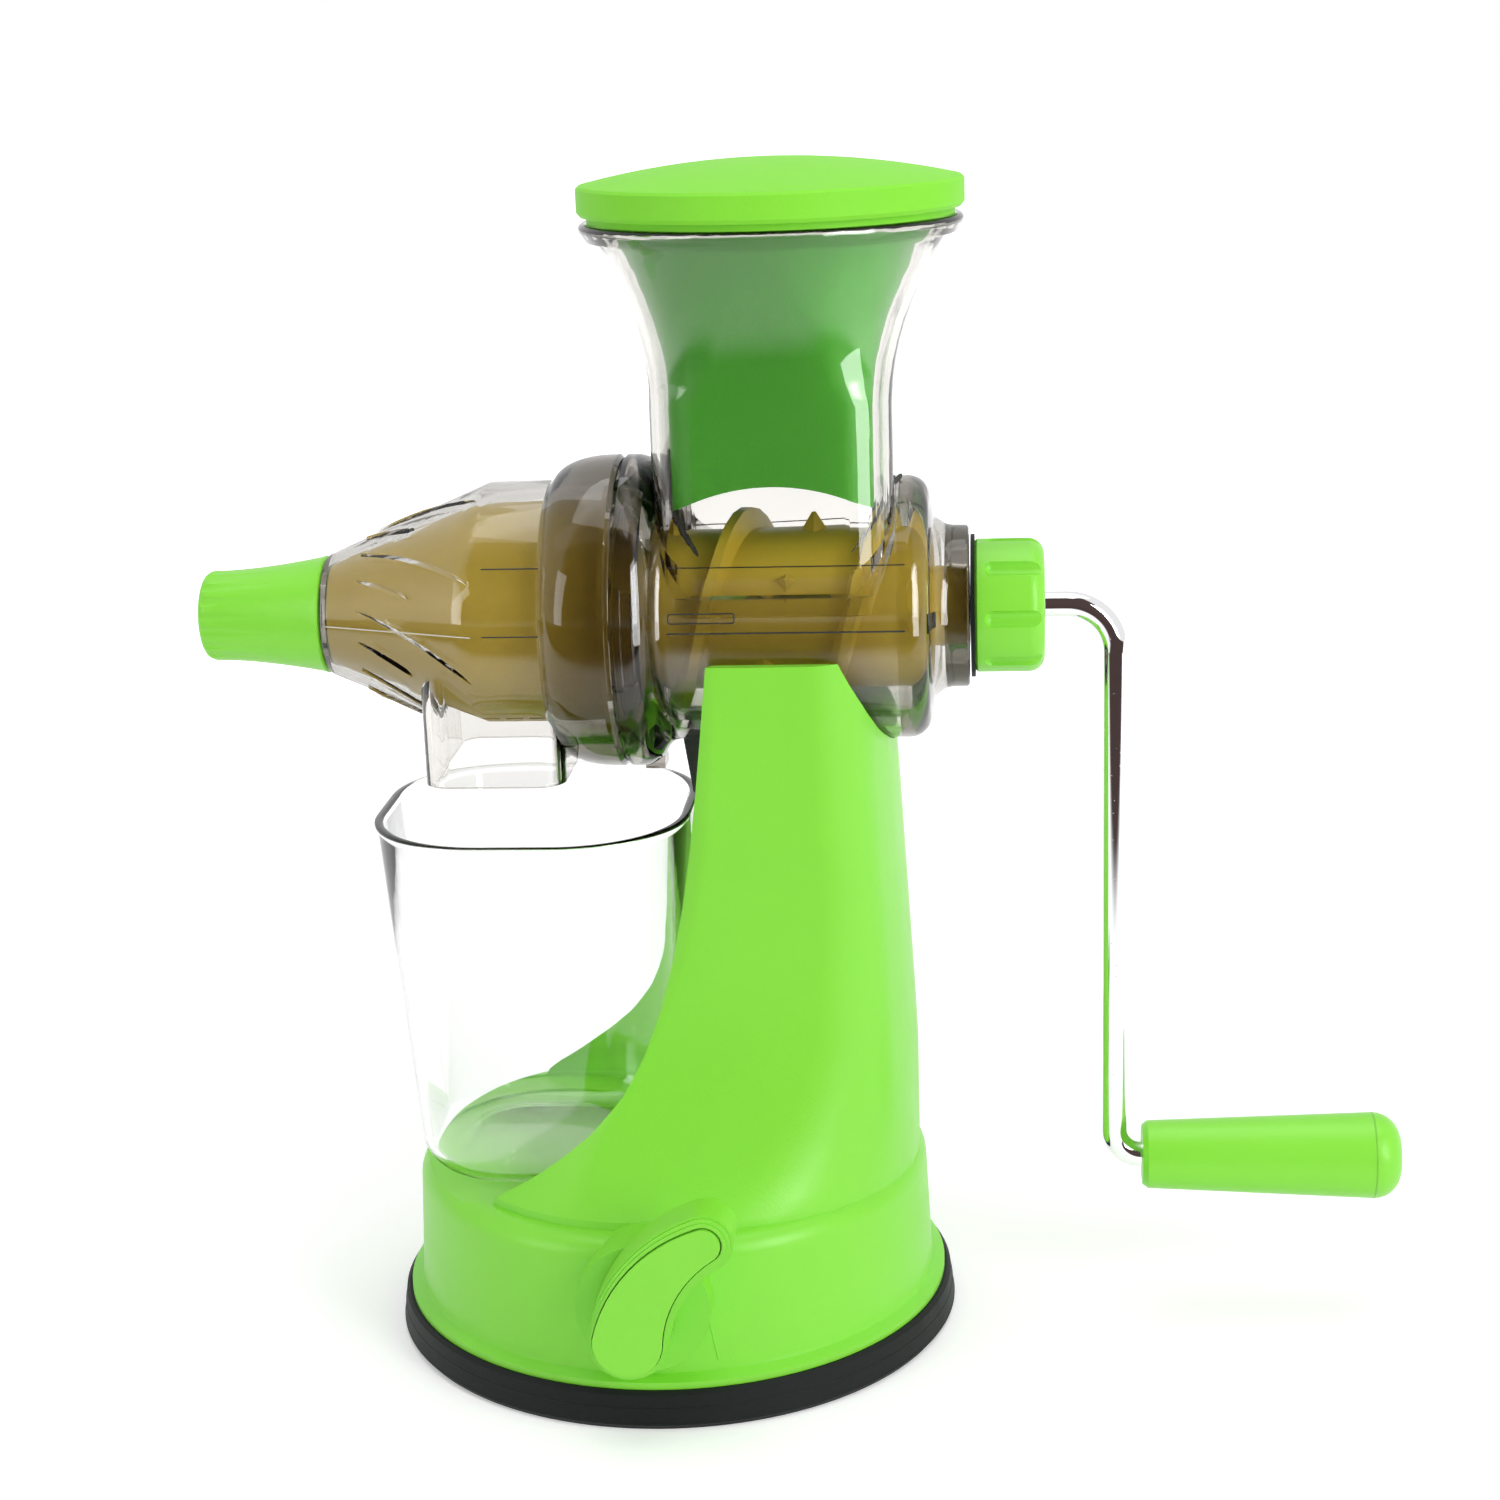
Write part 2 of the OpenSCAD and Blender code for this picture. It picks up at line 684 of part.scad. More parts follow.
// Spring clip behind the boss
module shaft_clip() {
    color("#b8bcc0") translate([0, clip_y + 0.1, lever_z]) rotate([-90, 0, 0]) difference() {
        cylinder(h = 1, r = shaft_r + 2);
        translate([0, 0, -1]) cylinder(h = 3, r = shaft_r - 0.9);
        translate([-2.5, 0, -1]) cube([5, 12, 3]);
    }
}

// Flare of the hopper from a square throat to a round rim, drawn in by a wall
function flare_share(z) = max(0, (z - flare_z) / flare_h);
function flare_half(z, g) = throat_half - g + (rim_r - throat_half) * pow(flare_share(z), flare_power);
function flare_corner(z, g) = let (h = flare_half(z, g))
    throat_corner - g + (h - throat_corner + g) * pow(min(1, flare_share(z) * 1.15), 0.8);
function flare_ring(z, g) = let (h = flare_half(z, g), c = flare_corner(z, g))
    [for (p = square_ring(h, c, z, 12)) [p[0] + hopper_x, p[1], p[2]]];
module flare_form(g, low, top) {
    span = top - flare_z;
    skin(concat([flare_ring(low, g)],
        [for (i = [0 : flare_rings]) flare_ring(flare_z + span * i / flare_rings, g)]));
}

// Outer form of the barrel with its flange, shoulder and neck
module barrel_form() {
    reach = flange_round + flange_foot;
    flank = asin((barrel_r + flange_foot - flange_r + flange_round) / reach);
    back_x = split_x + 3;
    turned(concat(
        [[split_x, 0], [split_x, flange_r - 1], [split_x + 1, flange_r]],
        arc(back_x, flange_r - flange_round, flange_round, 90, flank, 7),
        arc(back_x + reach * cos(flank), barrel_r + flange_foot, flange_foot, 180 + flank, 270, 4),
        arc(barrel_end, barrel_r - shoulder_r, shoulder_r, 90, 0, 8),
        arc(neck_x, neck_r + neck_round, neck_round, 180, 270, 6),
        arc(neck_end - 1, neck_r - 1, 1, 90, 0, 3),
        [[neck_end, 0]]));
}

// Ring pieces of the bayonet, spread round the axis
module bayonet(x, t, r_in, r_out, angle) {
    for (i = [0 : lug_count - 1])
        on_axis(x) rotate([0, 0, 360 * i / lug_count - angle / 2])
            rotate_extrude(angle = angle) translate([r_in, 0]) square([r_out - r_in, t]);
}

// Clear barrel with its jacket, throat, hopper and neck in one piece
module barrel_housing() {
    neck_turn = 250;
    color(smoke, 0.5) difference() {
        union() {
            barrel_form();
            flare_form(0, throat_floor - 4, rim_z - 1);
            translate([hopper_x, 0, rim_z - bead_h]) rotate_extrude() polygon(concat(
                [[rim_in - 8, 0], [rim_r - 0.8, 0]],
                arc(rim_r - 0.6, bead_h - 1.4, 1.4, -30, 90, 5), [[rim_in - 8, bead_h]]));
            on_axis(split_x + 3) translate([flange_r - 4, -4, 0]) cube([5.2, 8, 5]);
        }
        turned(concat([[split_x - 1, 0], [split_x - 1, bore_r], [neck_x - neck_round - clear_wall, bore_r]],
            arc(neck_x, neck_r + neck_round, neck_round + clear_wall, 180, neck_turn, 6),
            [[neck_x + (neck_round + clear_wall) * cos(neck_turn), 0]]));
        on_axis(split_x - 1) cylinder(h = neck_end - split_x + 2, r = journal_r + run_fit);
        on_axis(split_x - 1) difference() {
            cylinder(h = mouth_x - split_x + 1, r = mouth_r);
            translate([0, 0, -1]) cylinder(h = 20, r = tube_r);
        }
        difference() {
            on_axis(split_x - 1) difference() {
                cylinder(h = jacket_end - split_x + 1, r = shell_in);
                translate([0, 0, -1]) cylinder(h = 100, r = tube_r);
            }
            translate([hopper_x, 0, throat_floor - 4])
                rounded_block(2 * throat_half, 2 * throat_half, 80, throat_corner);
        }
        flare_form(clear_wall, throat_floor, rim_z + 1);
    }
    color(smoke, 0.5) bayonet(split_x, claw_t, claw_in, mouth_r + eps, claw_arc);
}

// Dark foot bonded under the barrel, which the stand's socket holds
module barrel_foot() {
    top = foot_z + foot_h + 6;
    color("#2a2e2c") difference() {
        translate([0, foot_half, 0]) rotate([90, 0, 0]) linear_extrude(height = 2 * foot_half) polygon([
            [foot_x0 - 1, top], [foot_x0 + foot_lean, foot_z], [foot_x1, foot_z], [foot_x1, top]]);
        on_axis(0) cylinder(h = barrel_end, r = barrel_r + bond_gap);
        translate([foot_screw_x, 0, foot_z - 1]) cylinder(h = foot_h - 3, r = screw_r);
    }
}

// Radius of the cover's cone at a place, outside
function cone_at(x) = cover_r + (cone_tip_r - cover_r) * (cone_start - x) / (cone_start - cone_end);

// Slanted rib on the cone, pointed at the small end and round at the other
rib_steps = 8;
rib_tip = cone_end + 11;
rib_turn = 1.15;
rib_phase = 166.5;
function rib_ring(i, length, turn) = let (t = i / rib_steps, x = rib_tip + length * t, r = cone_at(x))
    let (a = turn + rib_turn * length * t, w = rib_w / 2 * pow(t + 0.04, 0.6) * sqrt(1.02 - pow(t, 10)))
    [for (s = [[0, -1], [1, 0], [0, 1], [-1, 0]])
        let (b = a + 180 / PI * w * s[1] / r, q = r - 0.5 + 1.1 * s[0])
        [x, q * cos(b), axis_h + q * sin(b)]];

// Clear front cover with its bayonet, ribs, spout and nose
module front_cover() {
    bulge = flange_r - cover_r;
    sweep = collar_top - collar_start;
    color(smoke, 0.5) difference() {
        union() {
            turned(concat([[nose_end, 0], [nose_end, nose_r], [cone_end, nose_r]],
                arc(cone_end + 1.5, cone_tip_r - 1.5, 1.5, 180, 110, 4),
                [[cone_start, cover_r], [collar_start - 1, cover_r]],
                [for (a = [10 : 10 : 90]) [collar_top - sweep * cos(a), cover_r + bulge * sin(a)]],
                [[cover_face - 1, flange_r], [cover_face, flange_r - 1], [cover_face, 0]]));
            translate([spout_x, 0, spout_z])
                rounded_block(spout_l, spout_w, axis_h - spout_z, spout_round);
            on_axis(cover_face - 1) cylinder(h = spigot_end - cover_face + 1, r = spigot_out);
            bayonet(lug_x, spigot_end - lug_x, spigot_in + 1, claw_in + 1.7, lug_arc);
            for (i = [0 : rib_count - 1])
                skin([for (k = [0 : rib_steps])
                    rib_ring(k, i % 2 == 0 ? rib_long : rib_short, rib_phase + 360 * i / rib_count)]);
        }
        turned([[cone_end + nose_wall, 0], [cone_end + nose_wall, cone_at(cone_end) - clear_wall],
            [cone_start, cover_in], [spigot_end + 1, cover_in], [spigot_end + 1, 0]]);
        on_axis(collar_start) cylinder(h = spigot_end - collar_start + 1, r = spigot_in);
        on_axis(nose_end - 1) cylinder(h = nose_l + 10, r = nose_bore);
        translate([spout_x, 0, spout_z - 1])
            rounded_block(spout_l - 2 * clear_wall, spout_w - 2 * clear_wall, axis_h - spout_z,
                spout_round - clear_wall);
    }
}

// Rubber ring at the end of the cover's spigot
module cover_gasket() {
    color("#202424") on_axis(spigot_end) difference() {
        cylinder(h = gasket_t, r = spigot_out);
        translate([0, 0, -1]) cylinder(h = gasket_t + 2, r = spigot_in);
    }
}

// Strainer's outer or inner radius at a place on its cone
function sieve_at(x, g) = x > strainer_cone ? strainer_r + g :
    strainer_r + g + (strainer_tip_r - strainer_r) * (strainer_cone - x) / (strainer_cone - strainer_end);

// Slotted sleeve round the screw's front
module strainer() {
    rows = [-22.4, -28.2, -34, -40, -46.3, -52];
    spread = 9;
    color("#c8a22c") difference() {
        turned([[strainer_end, strainer_tip_r], [strainer_end, sieve_at(strainer_end, strainer_wall)],
            [strainer_cone, strainer_out], [strainer_face - flange_t, strainer_out],
            [strainer_face - flange_t, spigot_in - seat_gap], [strainer_face, spigot_in - seat_gap],
            [strainer_face, strainer_r], [strainer_cone, strainer_r]]);
        for (x = rows) for (k = [0 : slot_count - 1])
            on_axis(x) rotate([0, 0, (k - (slot_count - 1) / 2) * spread])
                translate([sieve_at(x, 0) - 3, -slot_w / 2, -slot_l / 2]) cube([8, slot_w, slot_l]);
    }
}

// Place, flight radius and core radius along the screw
function flight_turn(x) = 90 + 360 * (flight_crest - x) / flight_pitch;
function flight_at(x) = x > strainer_cone ? flight_r :
    flight_r + (flight_tip_r - flight_r) * (strainer_cone - x) / (strainer_cone - strainer_end);
function core_at(x) = x > strainer_cone ? core_r :
    core_r + (screw_tip_r - core_r) * (strainer_cone - x) / (strainer_cone - screw_end);
function flight_ring(i) = let (x = flight_start - flight_l * i / flight_steps)
    let (b = flight_turn(x), root = core_at(x) - 1.5, tip = flight_at(x))
    [for (p = [[-flight_root, root], [-flight_edge, tip], [flight_edge, tip], [flight_root, root]])
        [x + p[0] / 2, p[1] * cos(b), axis_h + p[1] * sin(b)]];

// Screw with its flight, crushing teeth and journal
module auger() {
    color("#8fcf3a") difference() {
        union() {
            turned([[screw_end, 0], [screw_end, screw_tip_r], [strainer_cone, core_r],
                [screw_start, core_r], [screw_start, journal_r], [neck_end, journal_r], [neck_end, 0]]);
            skin([for (i = [flight_steps : -1 : 0]) flight_ring(i)]);
            for (k = [0 : tooth_count - 1]) {
                x = flight_start - flight_pitch * (0.36 + k / 6);
                translate([x, 0, axis_h]) rotate([flight_turn(x) + 180, 0, 0]) translate([0, core_r - 1, 0])
                    rotate([-90, 0, 0]) cylinder(h = tooth_h, r1 = tooth_r, r2 = 0.5, $fn = 4);
            }
        }
        on_axis(stud_start) cylinder(h = 60, r = stud_r);
    }
}

// Steel stud in the screw's journal
module drive_stud() {
    color("#9a9ea2") on_axis(stud_start) cylinder(h = stud_end - stud_start, r = stud_r - 0.02);
}

// Black washer between neck and nut
module neck_washer() {
    color("#202424") on_axis(neck_end + slip) difference() {
        cylinder(h = washer_t, r = neck_r - 2.4);
        translate([0, 0, -1]) cylinder(h = 4, r = stud_r);
    }
}

// Green fluted nut that carries the crank
module handle_nut() {
    soft = 4;
    flute = 2.2;
    color(lime) difference() {
        turned(concat([[nut_x, 0], [nut_x, nut_r - 0.6], [nut_x + 0.6, nut_r]],
            arc(nut_end - soft, nut_r - soft, soft, 90, 0, 7), [[nut_end, 0]]));
        on_axis(nut_x - 1) cylinder(h = stud_end - nut_x + 1.2, r = stud_r);
        on_axis(nut_x) cylinder(h = nut_l + 1, r = rod_r);
        for (i = [0 : nut_flutes - 1])
            on_axis(nut_x + 2 * flute) rotate([0, 0, 360 * i / nut_flutes]) translate([nut_r + 0.7, 0, 0]) {
                cylinder(h = nut_l, r = flute, $fn = 24);
                sphere(r = flute, $fn = 24);
            }
    }
}

// Chromed rod with its two bends
module crank_rod() {
    top_run = crank_x - bend_r - rod_start;
    color("#c8ccd0") {
        on_axis(rod_start) cylinder(h = top_run, r = rod_r);
        translate([crank_x - bend_r, 0, axis_h - bend_r]) rotate([90, 0, 0])
            rotate_extrude(angle = 90) translate([bend_r, 0]) circle(r = rod_r);
        translate([crank_x, 0, grip_z + grip_bend_r])
            cylinder(h = crank_throw - bend_r - grip_bend_r, r = rod_r);
        translate([crank_x + grip_bend_r, 0, grip_z + grip_bend_r]) rotate([90, 0, 0]) rotate([0, 0, 180])
            rotate_extrude(angle = 90) translate([grip_bend_r, 0]) circle(r = rod_r);
        translate([crank_x + grip_bend_r, 0, grip_z]) rotate([0, 90, 0])
            cylinder(h = rod_end - crank_x - grip_bend_r, r = rod_r);
    }
}

// Clip on the rod's end inside the grip
module grip_clip() {
    color("#9a9ea2") translate([clip_x, 0, grip_z]) rotate([0, 90, 0]) difference() {
        cylinder(h = 1.2, r = rod_r + 2.4);
        translate([0, 0, -1]) cylinder(h = 4, r = rod_r);
    }
}

// Turning grip with a rounded end
module handle_grip() {
    r0 = grip_d / 2;
    r1 = grip_end_d / 2;
    soft = 7;
    end = grip_l;
    color(lime) translate([grip_x, 0, grip_z]) rotate([0, 90, 0]) rotate_extrude() polygon(concat(
        [[rod_r + run_fit, 0], [r0 - 1, 0], [r0, 1.4], [r1, end - soft]],
        arc(r1 - soft, end - soft, soft, 0, 90, 8),
        [[0, end], [0, clip_x - grip_x + 5], [rod_r + 3, clip_x - grip_x + 5],
        [rod_r + 3, clip_x - grip_x - slip], [rod_r + run_fit, clip_x - grip_x - slip]]));
}

// Seal ring in the knob
module pulp_seal() {
    color("#202424") on_axis(knob_x - 3) difference() {
        cylinder(h = seal_w, r = nose_r + 1.4);
        translate([0, 0, -1]) cylinder(h = seal_w + 2, r = nose_r + 0.05);
    }
}

// Fluted knob on the nose, with the pulp outlet through it
module pulp_knob() {
    soft = 2.5;
    taper_l = knob_l - soft - 2.5;
    flute = 2.4;
    color(lime) difference() {
        turned(concat([[knob_x, 0], [knob_x, knob_flange_r - 0.5], [knob_x - 0.5, knob_flange_r]],
            [for (i = [0 : 9]) let (t = i / 9)
                [knob_x - 1.5 - taper_l * t, knob_r + (knob_flange_r - 0.3 - knob_r) * pow(1 - t, 1.6)]],
            arc(knob_end + soft, knob_r - soft, soft, 90, 180, 6), [[knob_end, 0]]));
        on_axis(nose_end - 0.6) cylinder(h = nose_l + 2, r = nose_r + run_fit);
        on_axis(knob_x - 3 - slip) cylinder(h = seal_w + 2 * slip, r = nose_r + 1.7);
        on_axis(knob_end - 1) cylinder(h = 40, r = outlet_r);
        for (i = [0 : knob_flutes - 1])
            on_axis(knob_end - 1) rotate([0, 0, 360 * i / knob_flutes])
                translate([knob_r + flute - flute_depth, 0, 0]) rotate([0, 6, 0])
                    cylinder(h = knob_l * 0.6, r = flute, $fn = 32);
    }
}

// Hollow plunger that follows the hopper, with an arched lower edge
module pusher_body() {
    low = axis_h + plunger_low - 1;
    gap = clear_wall + plunger_gap;
    color("#66c23a") difference() {
        flare_form(gap, low, rim_z);
        flare_form(gap + plunger_wall, low + plunger_wall + arch_rise + 1, rim_z + 0.5);
        translate([hopper_x, -60, arch_z]) rotate([-90, 0, 0]) cylinder(h = 120, r = arch_r, $fn = 120);
    }
}

// Domed lid with a seat ring that rests on the rim
module pusher_lid() {
    dome_r = (pow(lid_r, 2) + pow(lid_dome, 2)) / (2 * lid_dome);
    edge_top = lid_z + lid_edge;
    sweep = asin(lid_r / dome_r);
    color(lime) translate([hopper_x, 0, 0]) rotate_extrude($fn = 120) polygon(concat(
        [[0, rim_z], [rim_in - plunger_gap - plunger_wall, rim_z], [rim_r - 1.4, rim_z], [rim_r - 1.4, lid_z],
        [lid_r - 0.8, lid_z], [lid_r, lid_z + 1], [lid_r, edge_top - 0.5]],
        arc(0, edge_top + lid_dome - dome_r, dome_r, 90 - sweep * 0.985, 90, 10)));
}

// Half width of the cup at a height over its foot, drawn in by a wall
function cup_half_at(h, g) = h < cup_edge
    ? cup_low_half - cup_edge + sqrt(max(0, pow(cup_edge - g, 2) - pow(cup_edge - h, 2)))
    : cup_low_half + (cup_half - cup_low_half) * (h - cup_edge) / (cup_h - cup_edge) - g;
function cup_ring(h, g, out) = let (half = cup_half_at(h, g) + out, c = half - cup_flat)
    [for (p = square_ring(half, c, seat_z + h, 12)) [p[0] + cup_x, p[1], p[2]]];

// Clear cup with soft square sides, a rounded foot and a thin rim
module juice_cup() {
    edge_steps = 7;
    inner_edge = cup_edge - cup_wall;
    color("#dfe6e4", 0.35) difference() {
        skin(concat([for (i = [0 : edge_steps]) cup_ring(cup_edge * (1 - cos(90 * i / edge_steps)), 0, 0)],
            [cup_ring(cup_h - 1.6, 0, 0), cup_ring(cup_h - 1, 0, 0.6), cup_ring(cup_h, 0, 0.6)]));
        skin(concat([for (i = [0 : edge_steps])
            cup_ring(cup_edge - inner_edge * cos(90 * i / edge_steps), cup_wall, 0)],
            [cup_ring(cup_h + 1, cup_wall, 0)]));
    }
}

suction_pad();
pad_plate();
pad_stem();
pad_spring();
stand_shell();
guide_bridge();
bridge_screws();
suction_lever();
lever_cap();
lever_shaft();
lever_screw();
shaft_clip();
barrel_housing();
barrel_foot();
foot_screw();
front_cover();
cover_gasket();
strainer();
pulp_seal();
pulp_knob();
auger();
drive_stud();
neck_washer();
handle_nut();
crank_rod();
grip_clip();
handle_grip();
pusher_body();
pusher_lid();
juice_cup();
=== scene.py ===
"""Looks of the hand juicer: its plastics, rubber, chrome and small raised details, in a plain studio."""

import json
import math

import bmesh
import bpy
from mathutils import Matrix, Vector


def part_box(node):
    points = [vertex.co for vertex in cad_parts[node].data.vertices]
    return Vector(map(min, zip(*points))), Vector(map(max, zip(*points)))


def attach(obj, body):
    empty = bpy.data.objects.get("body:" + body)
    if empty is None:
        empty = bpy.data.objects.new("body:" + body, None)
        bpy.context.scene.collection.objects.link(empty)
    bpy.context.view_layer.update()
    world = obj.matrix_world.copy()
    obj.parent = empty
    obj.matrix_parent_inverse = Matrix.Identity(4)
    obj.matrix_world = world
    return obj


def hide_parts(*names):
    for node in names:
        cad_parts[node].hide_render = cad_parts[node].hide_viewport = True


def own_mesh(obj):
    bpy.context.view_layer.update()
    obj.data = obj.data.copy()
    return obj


bl_info = {
    "name": "Hand juicer looks",
    "version": (1, 1, 0),
    "blender": (4, 5, 0),
    "location": "3D View > Sidebar > Juicer",
    "description": "Finishes and small details of a hand juicer on a suction base",
    "category": "Object",
}

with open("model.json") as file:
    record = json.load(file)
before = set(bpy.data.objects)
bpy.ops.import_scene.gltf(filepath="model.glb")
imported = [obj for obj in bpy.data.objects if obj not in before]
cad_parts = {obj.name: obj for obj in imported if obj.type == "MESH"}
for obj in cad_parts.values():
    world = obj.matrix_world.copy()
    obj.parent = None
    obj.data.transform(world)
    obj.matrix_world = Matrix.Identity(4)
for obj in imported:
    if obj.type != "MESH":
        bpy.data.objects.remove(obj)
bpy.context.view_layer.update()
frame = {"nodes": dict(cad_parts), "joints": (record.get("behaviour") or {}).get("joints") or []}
nodes = frame["nodes"]


# Measures of the solids that the small pieces follow, in metres

axis_z = (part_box("drive_stud")[0].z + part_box("drive_stud")[1].z) / 2
grip_low, grip_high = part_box("handle_grip")
pad_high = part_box("suction_pad")[1]

# The barrel: its outside and where its plain part starts and ends
barrel_r = 0.0327
barrel_from = 0.0075
barrel_end = 0.0650

# The barrel's shoulder and neck: their rounds and the neck's outside
shoulder_r = 0.0055
neck_round = 0.0053
neck_r = 0.0202

# The front cover: its straight part, its cone and the cone's tip
cover_r = 0.0330
straight_from = -0.0376
straight_to = -0.0232
cone_start = -0.0395
cone_end = -0.0820
cone_tip_r = 0.0156

# The collar, where barrel and cover lie in each other
collar_from = -0.0235
collar_to = 0.0078
collar_inner_r = 0.0332
collar_full_r = 0.0345
collar_r = 0.0450

# The base drum: its outside at a level, and how much it narrows in a metre
drum_r = 0.068
drum_level = 0.014
drum_draft = 0.0444

# The cup: its middle, foot, height, half widths at rim and foot, half its flat side, foot's round and wall
cup_x = -0.0315
cup_foot = 0.0445
cup_high = 0.094
cup_half = 0.0398
cup_low_half = 0.0332
cup_flat = 0.009
cup_edge = 0.009
cup_wall = 0.0018


# Shader graphs

class Signal:
    """A node's output, so that shader maths is written as Python expressions."""

    def __init__(self, graph, socket):
        self.graph = graph
        self.socket = socket

    def maths(self, operation, *values):
        return self.graph.node("ShaderNodeMath", {"operation": operation}, dict(enumerate(values)))["Value"]

    def __add__(self, other):
        return self.maths("ADD", self, other)

    def __sub__(self, other):
        return self.maths("SUBTRACT", self, other)

    def __rsub__(self, other):
        return self.maths("SUBTRACT", other, self)

    def __mul__(self, other):
        return self.maths("MULTIPLY", self, other)

    def __pow__(self, other):
        return self.maths("POWER", self, other)

    __radd__ = __add__
    __rmul__ = __mul__

    def larger(self, other):
        return self.maths("MAXIMUM", self, other)

    def over(self, limit):
        return self.maths("GREATER_THAN", self, limit)

    def size(self):
        return self.maths("ABSOLUTE", self)

    def rise(self, low, high):
        """0 below low and 1 above high, with a soft step between."""
        settings = {"interpolation_type": "SMOOTHSTEP"}
        sockets = {"Value": self, "From Min": low, "From Max": high}
        return self.graph.node("ShaderNodeMapRange", settings, sockets)["Result"]


class Made:
    """A node that was made, whose outputs are read by name."""

    def __init__(self, graph, node):
        self.graph = graph
        self.inner = node

    def __getitem__(self, name):
        return Signal(self.graph, self.inner.outputs[name])


class Graph:
    """The nodes of one material, of the world or of a modifier."""

    def __init__(self, tree):
        self.tree = tree
        self.tree.nodes.clear()

    def node(self, kind, settings=None, sockets=None):
        node = self.tree.nodes.new(kind)
        for name, value in (settings or {}).items():
            if name == "stops":
                ramp = node.color_ramp
                while len(ramp.elements) < len(value):
                    ramp.elements.new(0.5)
                for element, (place, colour) in zip(ramp.elements, value):
                    element.position = place
                    element.color = (*colour, 1)
            else:
                setattr(node, name, value)
        for name, value in (sockets or {}).items():
            if isinstance(value, Signal):
                self.tree.links.new(value.socket, node.inputs[name])
            else:
                node.inputs[name].default_value = value
        return Made(self, node)

    def blend(self, share, first, second):
        """Colour between first and second."""
        sockets = {0: share, 6: rgba(first), 7: rgba(second)}
        return self.node("ShaderNodeMix", {"data_type": "RGBA", "clamp_factor": True}, sockets)[2]

    def place(self):
        """Where a point is on the piece, in metres."""
        return self.node("ShaderNodeTexCoord")["Object"]

    def stretch(self, vector, scale):
        settings = {"operation": "MULTIPLY"}
        return self.node("ShaderNodeVectorMath", settings, {0: vector, 1: scale})["Vector"]

    def axes(self, vector):
        parts = self.node("ShaderNodeSeparateXYZ", None, {0: vector})
        return parts["X"], parts["Y"], parts["Z"]

    def noise(self, vector, scale, detail=2.0, roughness=0.5):
        sockets = {"Vector": vector, "Scale": scale, "Detail": detail, "Roughness": roughness}
        return self.node("ShaderNodeTexNoise", None, sockets)["Fac"]

    def cells(self, vector, scale):
        return self.node("ShaderNodeTexVoronoi", None, {"Vector": vector, "Scale": scale})["Distance"]

    def bump(self, height, distance, strength=1.0):
        sockets = {"Height": height, "Distance": distance, "Strength": strength}
        return self.node("ShaderNodeBump", None, sockets)["Normal"]

    def finish(self, shader, volume=None):
        sockets = {"Surface": shader}
        if volume:
            sockets["Volume"] = volume
        self.node("ShaderNodeOutputMaterial", None, sockets)


def rgba(colour):
    return colour if isinstance(colour, Signal) else (*colour[:3], 1)


def shade(colour, factor):
    return tuple(min(1.0, part * factor) for part in colour[:3])


# Settings

def colour_setting(name, description, value):
    return bpy.props.FloatVectorProperty(
        name=name, description=description, default=value, subtype="COLOR", size=3, min=0, max=1)


def length_setting(name, description, value, most):
    return bpy.props.FloatProperty(
        name=name, description=description, default=value, min=0, max=most, unit="LENGTH", precision=5)


class JuicerColours(bpy.types.PropertyGroup):
    """Colours of the juicer's materials."""

    lime: colour_setting("Lime", "Green of the stand, lever, nut, grip, knob and lid", (0.235, 0.73, 0.042))
    # Painted shade: the plunger's green is the lime darkened for the shade it gets behind the smoky hopper
    plunger: colour_setting("Plunger", "Deeper green of the hollow plunger", (0.075, 0.43, 0.030))
    smoke: colour_setting("Smoke", "What smoky plastic lets through in its thickness", (0.15, 0.10, 0.0))
    screw: colour_setting("Screw", "Olive yellow of the pressing screw", (0.69, 0.51, 0.052))
    sieve: colour_setting("Strainer", "Olive yellow of the strainer", (0.51, 0.37, 0.040))
    rubber: colour_setting("Rubber", "Black of the pad, washer and seals", (0.007, 0.009, 0.009))
    # Painted shade: this dark is drawn as opaque strips where the clear plastic's steps, corners and edges
    # look dark
    seam: colour_setting("Seam", "Dark that shows where clear plastic has a step", (0.030, 0.031, 0.028))
    chrome: colour_setting("Chrome", "Plated steel of the crank", (0.86, 0.86, 0.87))
    steel: colour_setting("Steel", "Bare steel of screws, shafts and clips", (0.52, 0.53, 0.54))
    # Painted shade: the collar's faces are darkened by this colour for the dark its stacked walls and inner
    # reflections show
    collar: colour_setting("Collar", "What each face of the collar lets through", (0.70, 0.67, 0.65))
    dark: colour_setting("Dark plastic", "Inner plastic pieces under the stand", (0.045, 0.047, 0.05))


class JuicerFinish(bpy.types.PropertyGroup):
    """Measures of the surfaces' finish."""

    grain: length_setting("Grain", "Depth of the moulded plastic's fine grain", 0.00004, 0.0005)
    ripple: length_setting("Ripple", "Depth of the clear plastic's flow ripple", 0.00010, 0.001)
    smoke_density: bpy.props.FloatProperty(
        name="Smoke density", description="How strongly a metre of smoky plastic darkens",
        default=90, min=0, max=300)
    crease: bpy.props.FloatProperty(
        name="Crease", description="Smallest angle between two faces that stays a sharp edge",
        default=math.radians(28), min=0, max=math.pi, subtype="ANGLE")
    lever_crease: bpy.props.FloatProperty(
        name="Lever crease", description="Smallest angle that stays a sharp edge on the suction lever",
        default=math.radians(48), min=0, max=math.pi, subtype="ANGLE")


class JuicerDetails(bpy.types.PropertyGroup):
    """Sizes of the small raised pieces."""

    line_half: length_setting("Step half width", "Half width of the clear barrel's steps", 0.00022, 0.001)
    line_high: length_setting("Step height", "Height of the clear barrel's steps", 0.00014, 0.001)
    seam_half: length_setting("Seam half width", "Half width of the moulding seams", 0.00028, 0.001)
    seam_high: length_setting("Seam height", "Height of the moulding seams", 0.00020, 0.001)
    bead_half: length_setting("Corner half width", "Half width of the hopper's corners", 0.0011, 0.003)
    bead_high: length_setting("Corner height", "Height of the hopper's corners", 0.0006, 0.002)


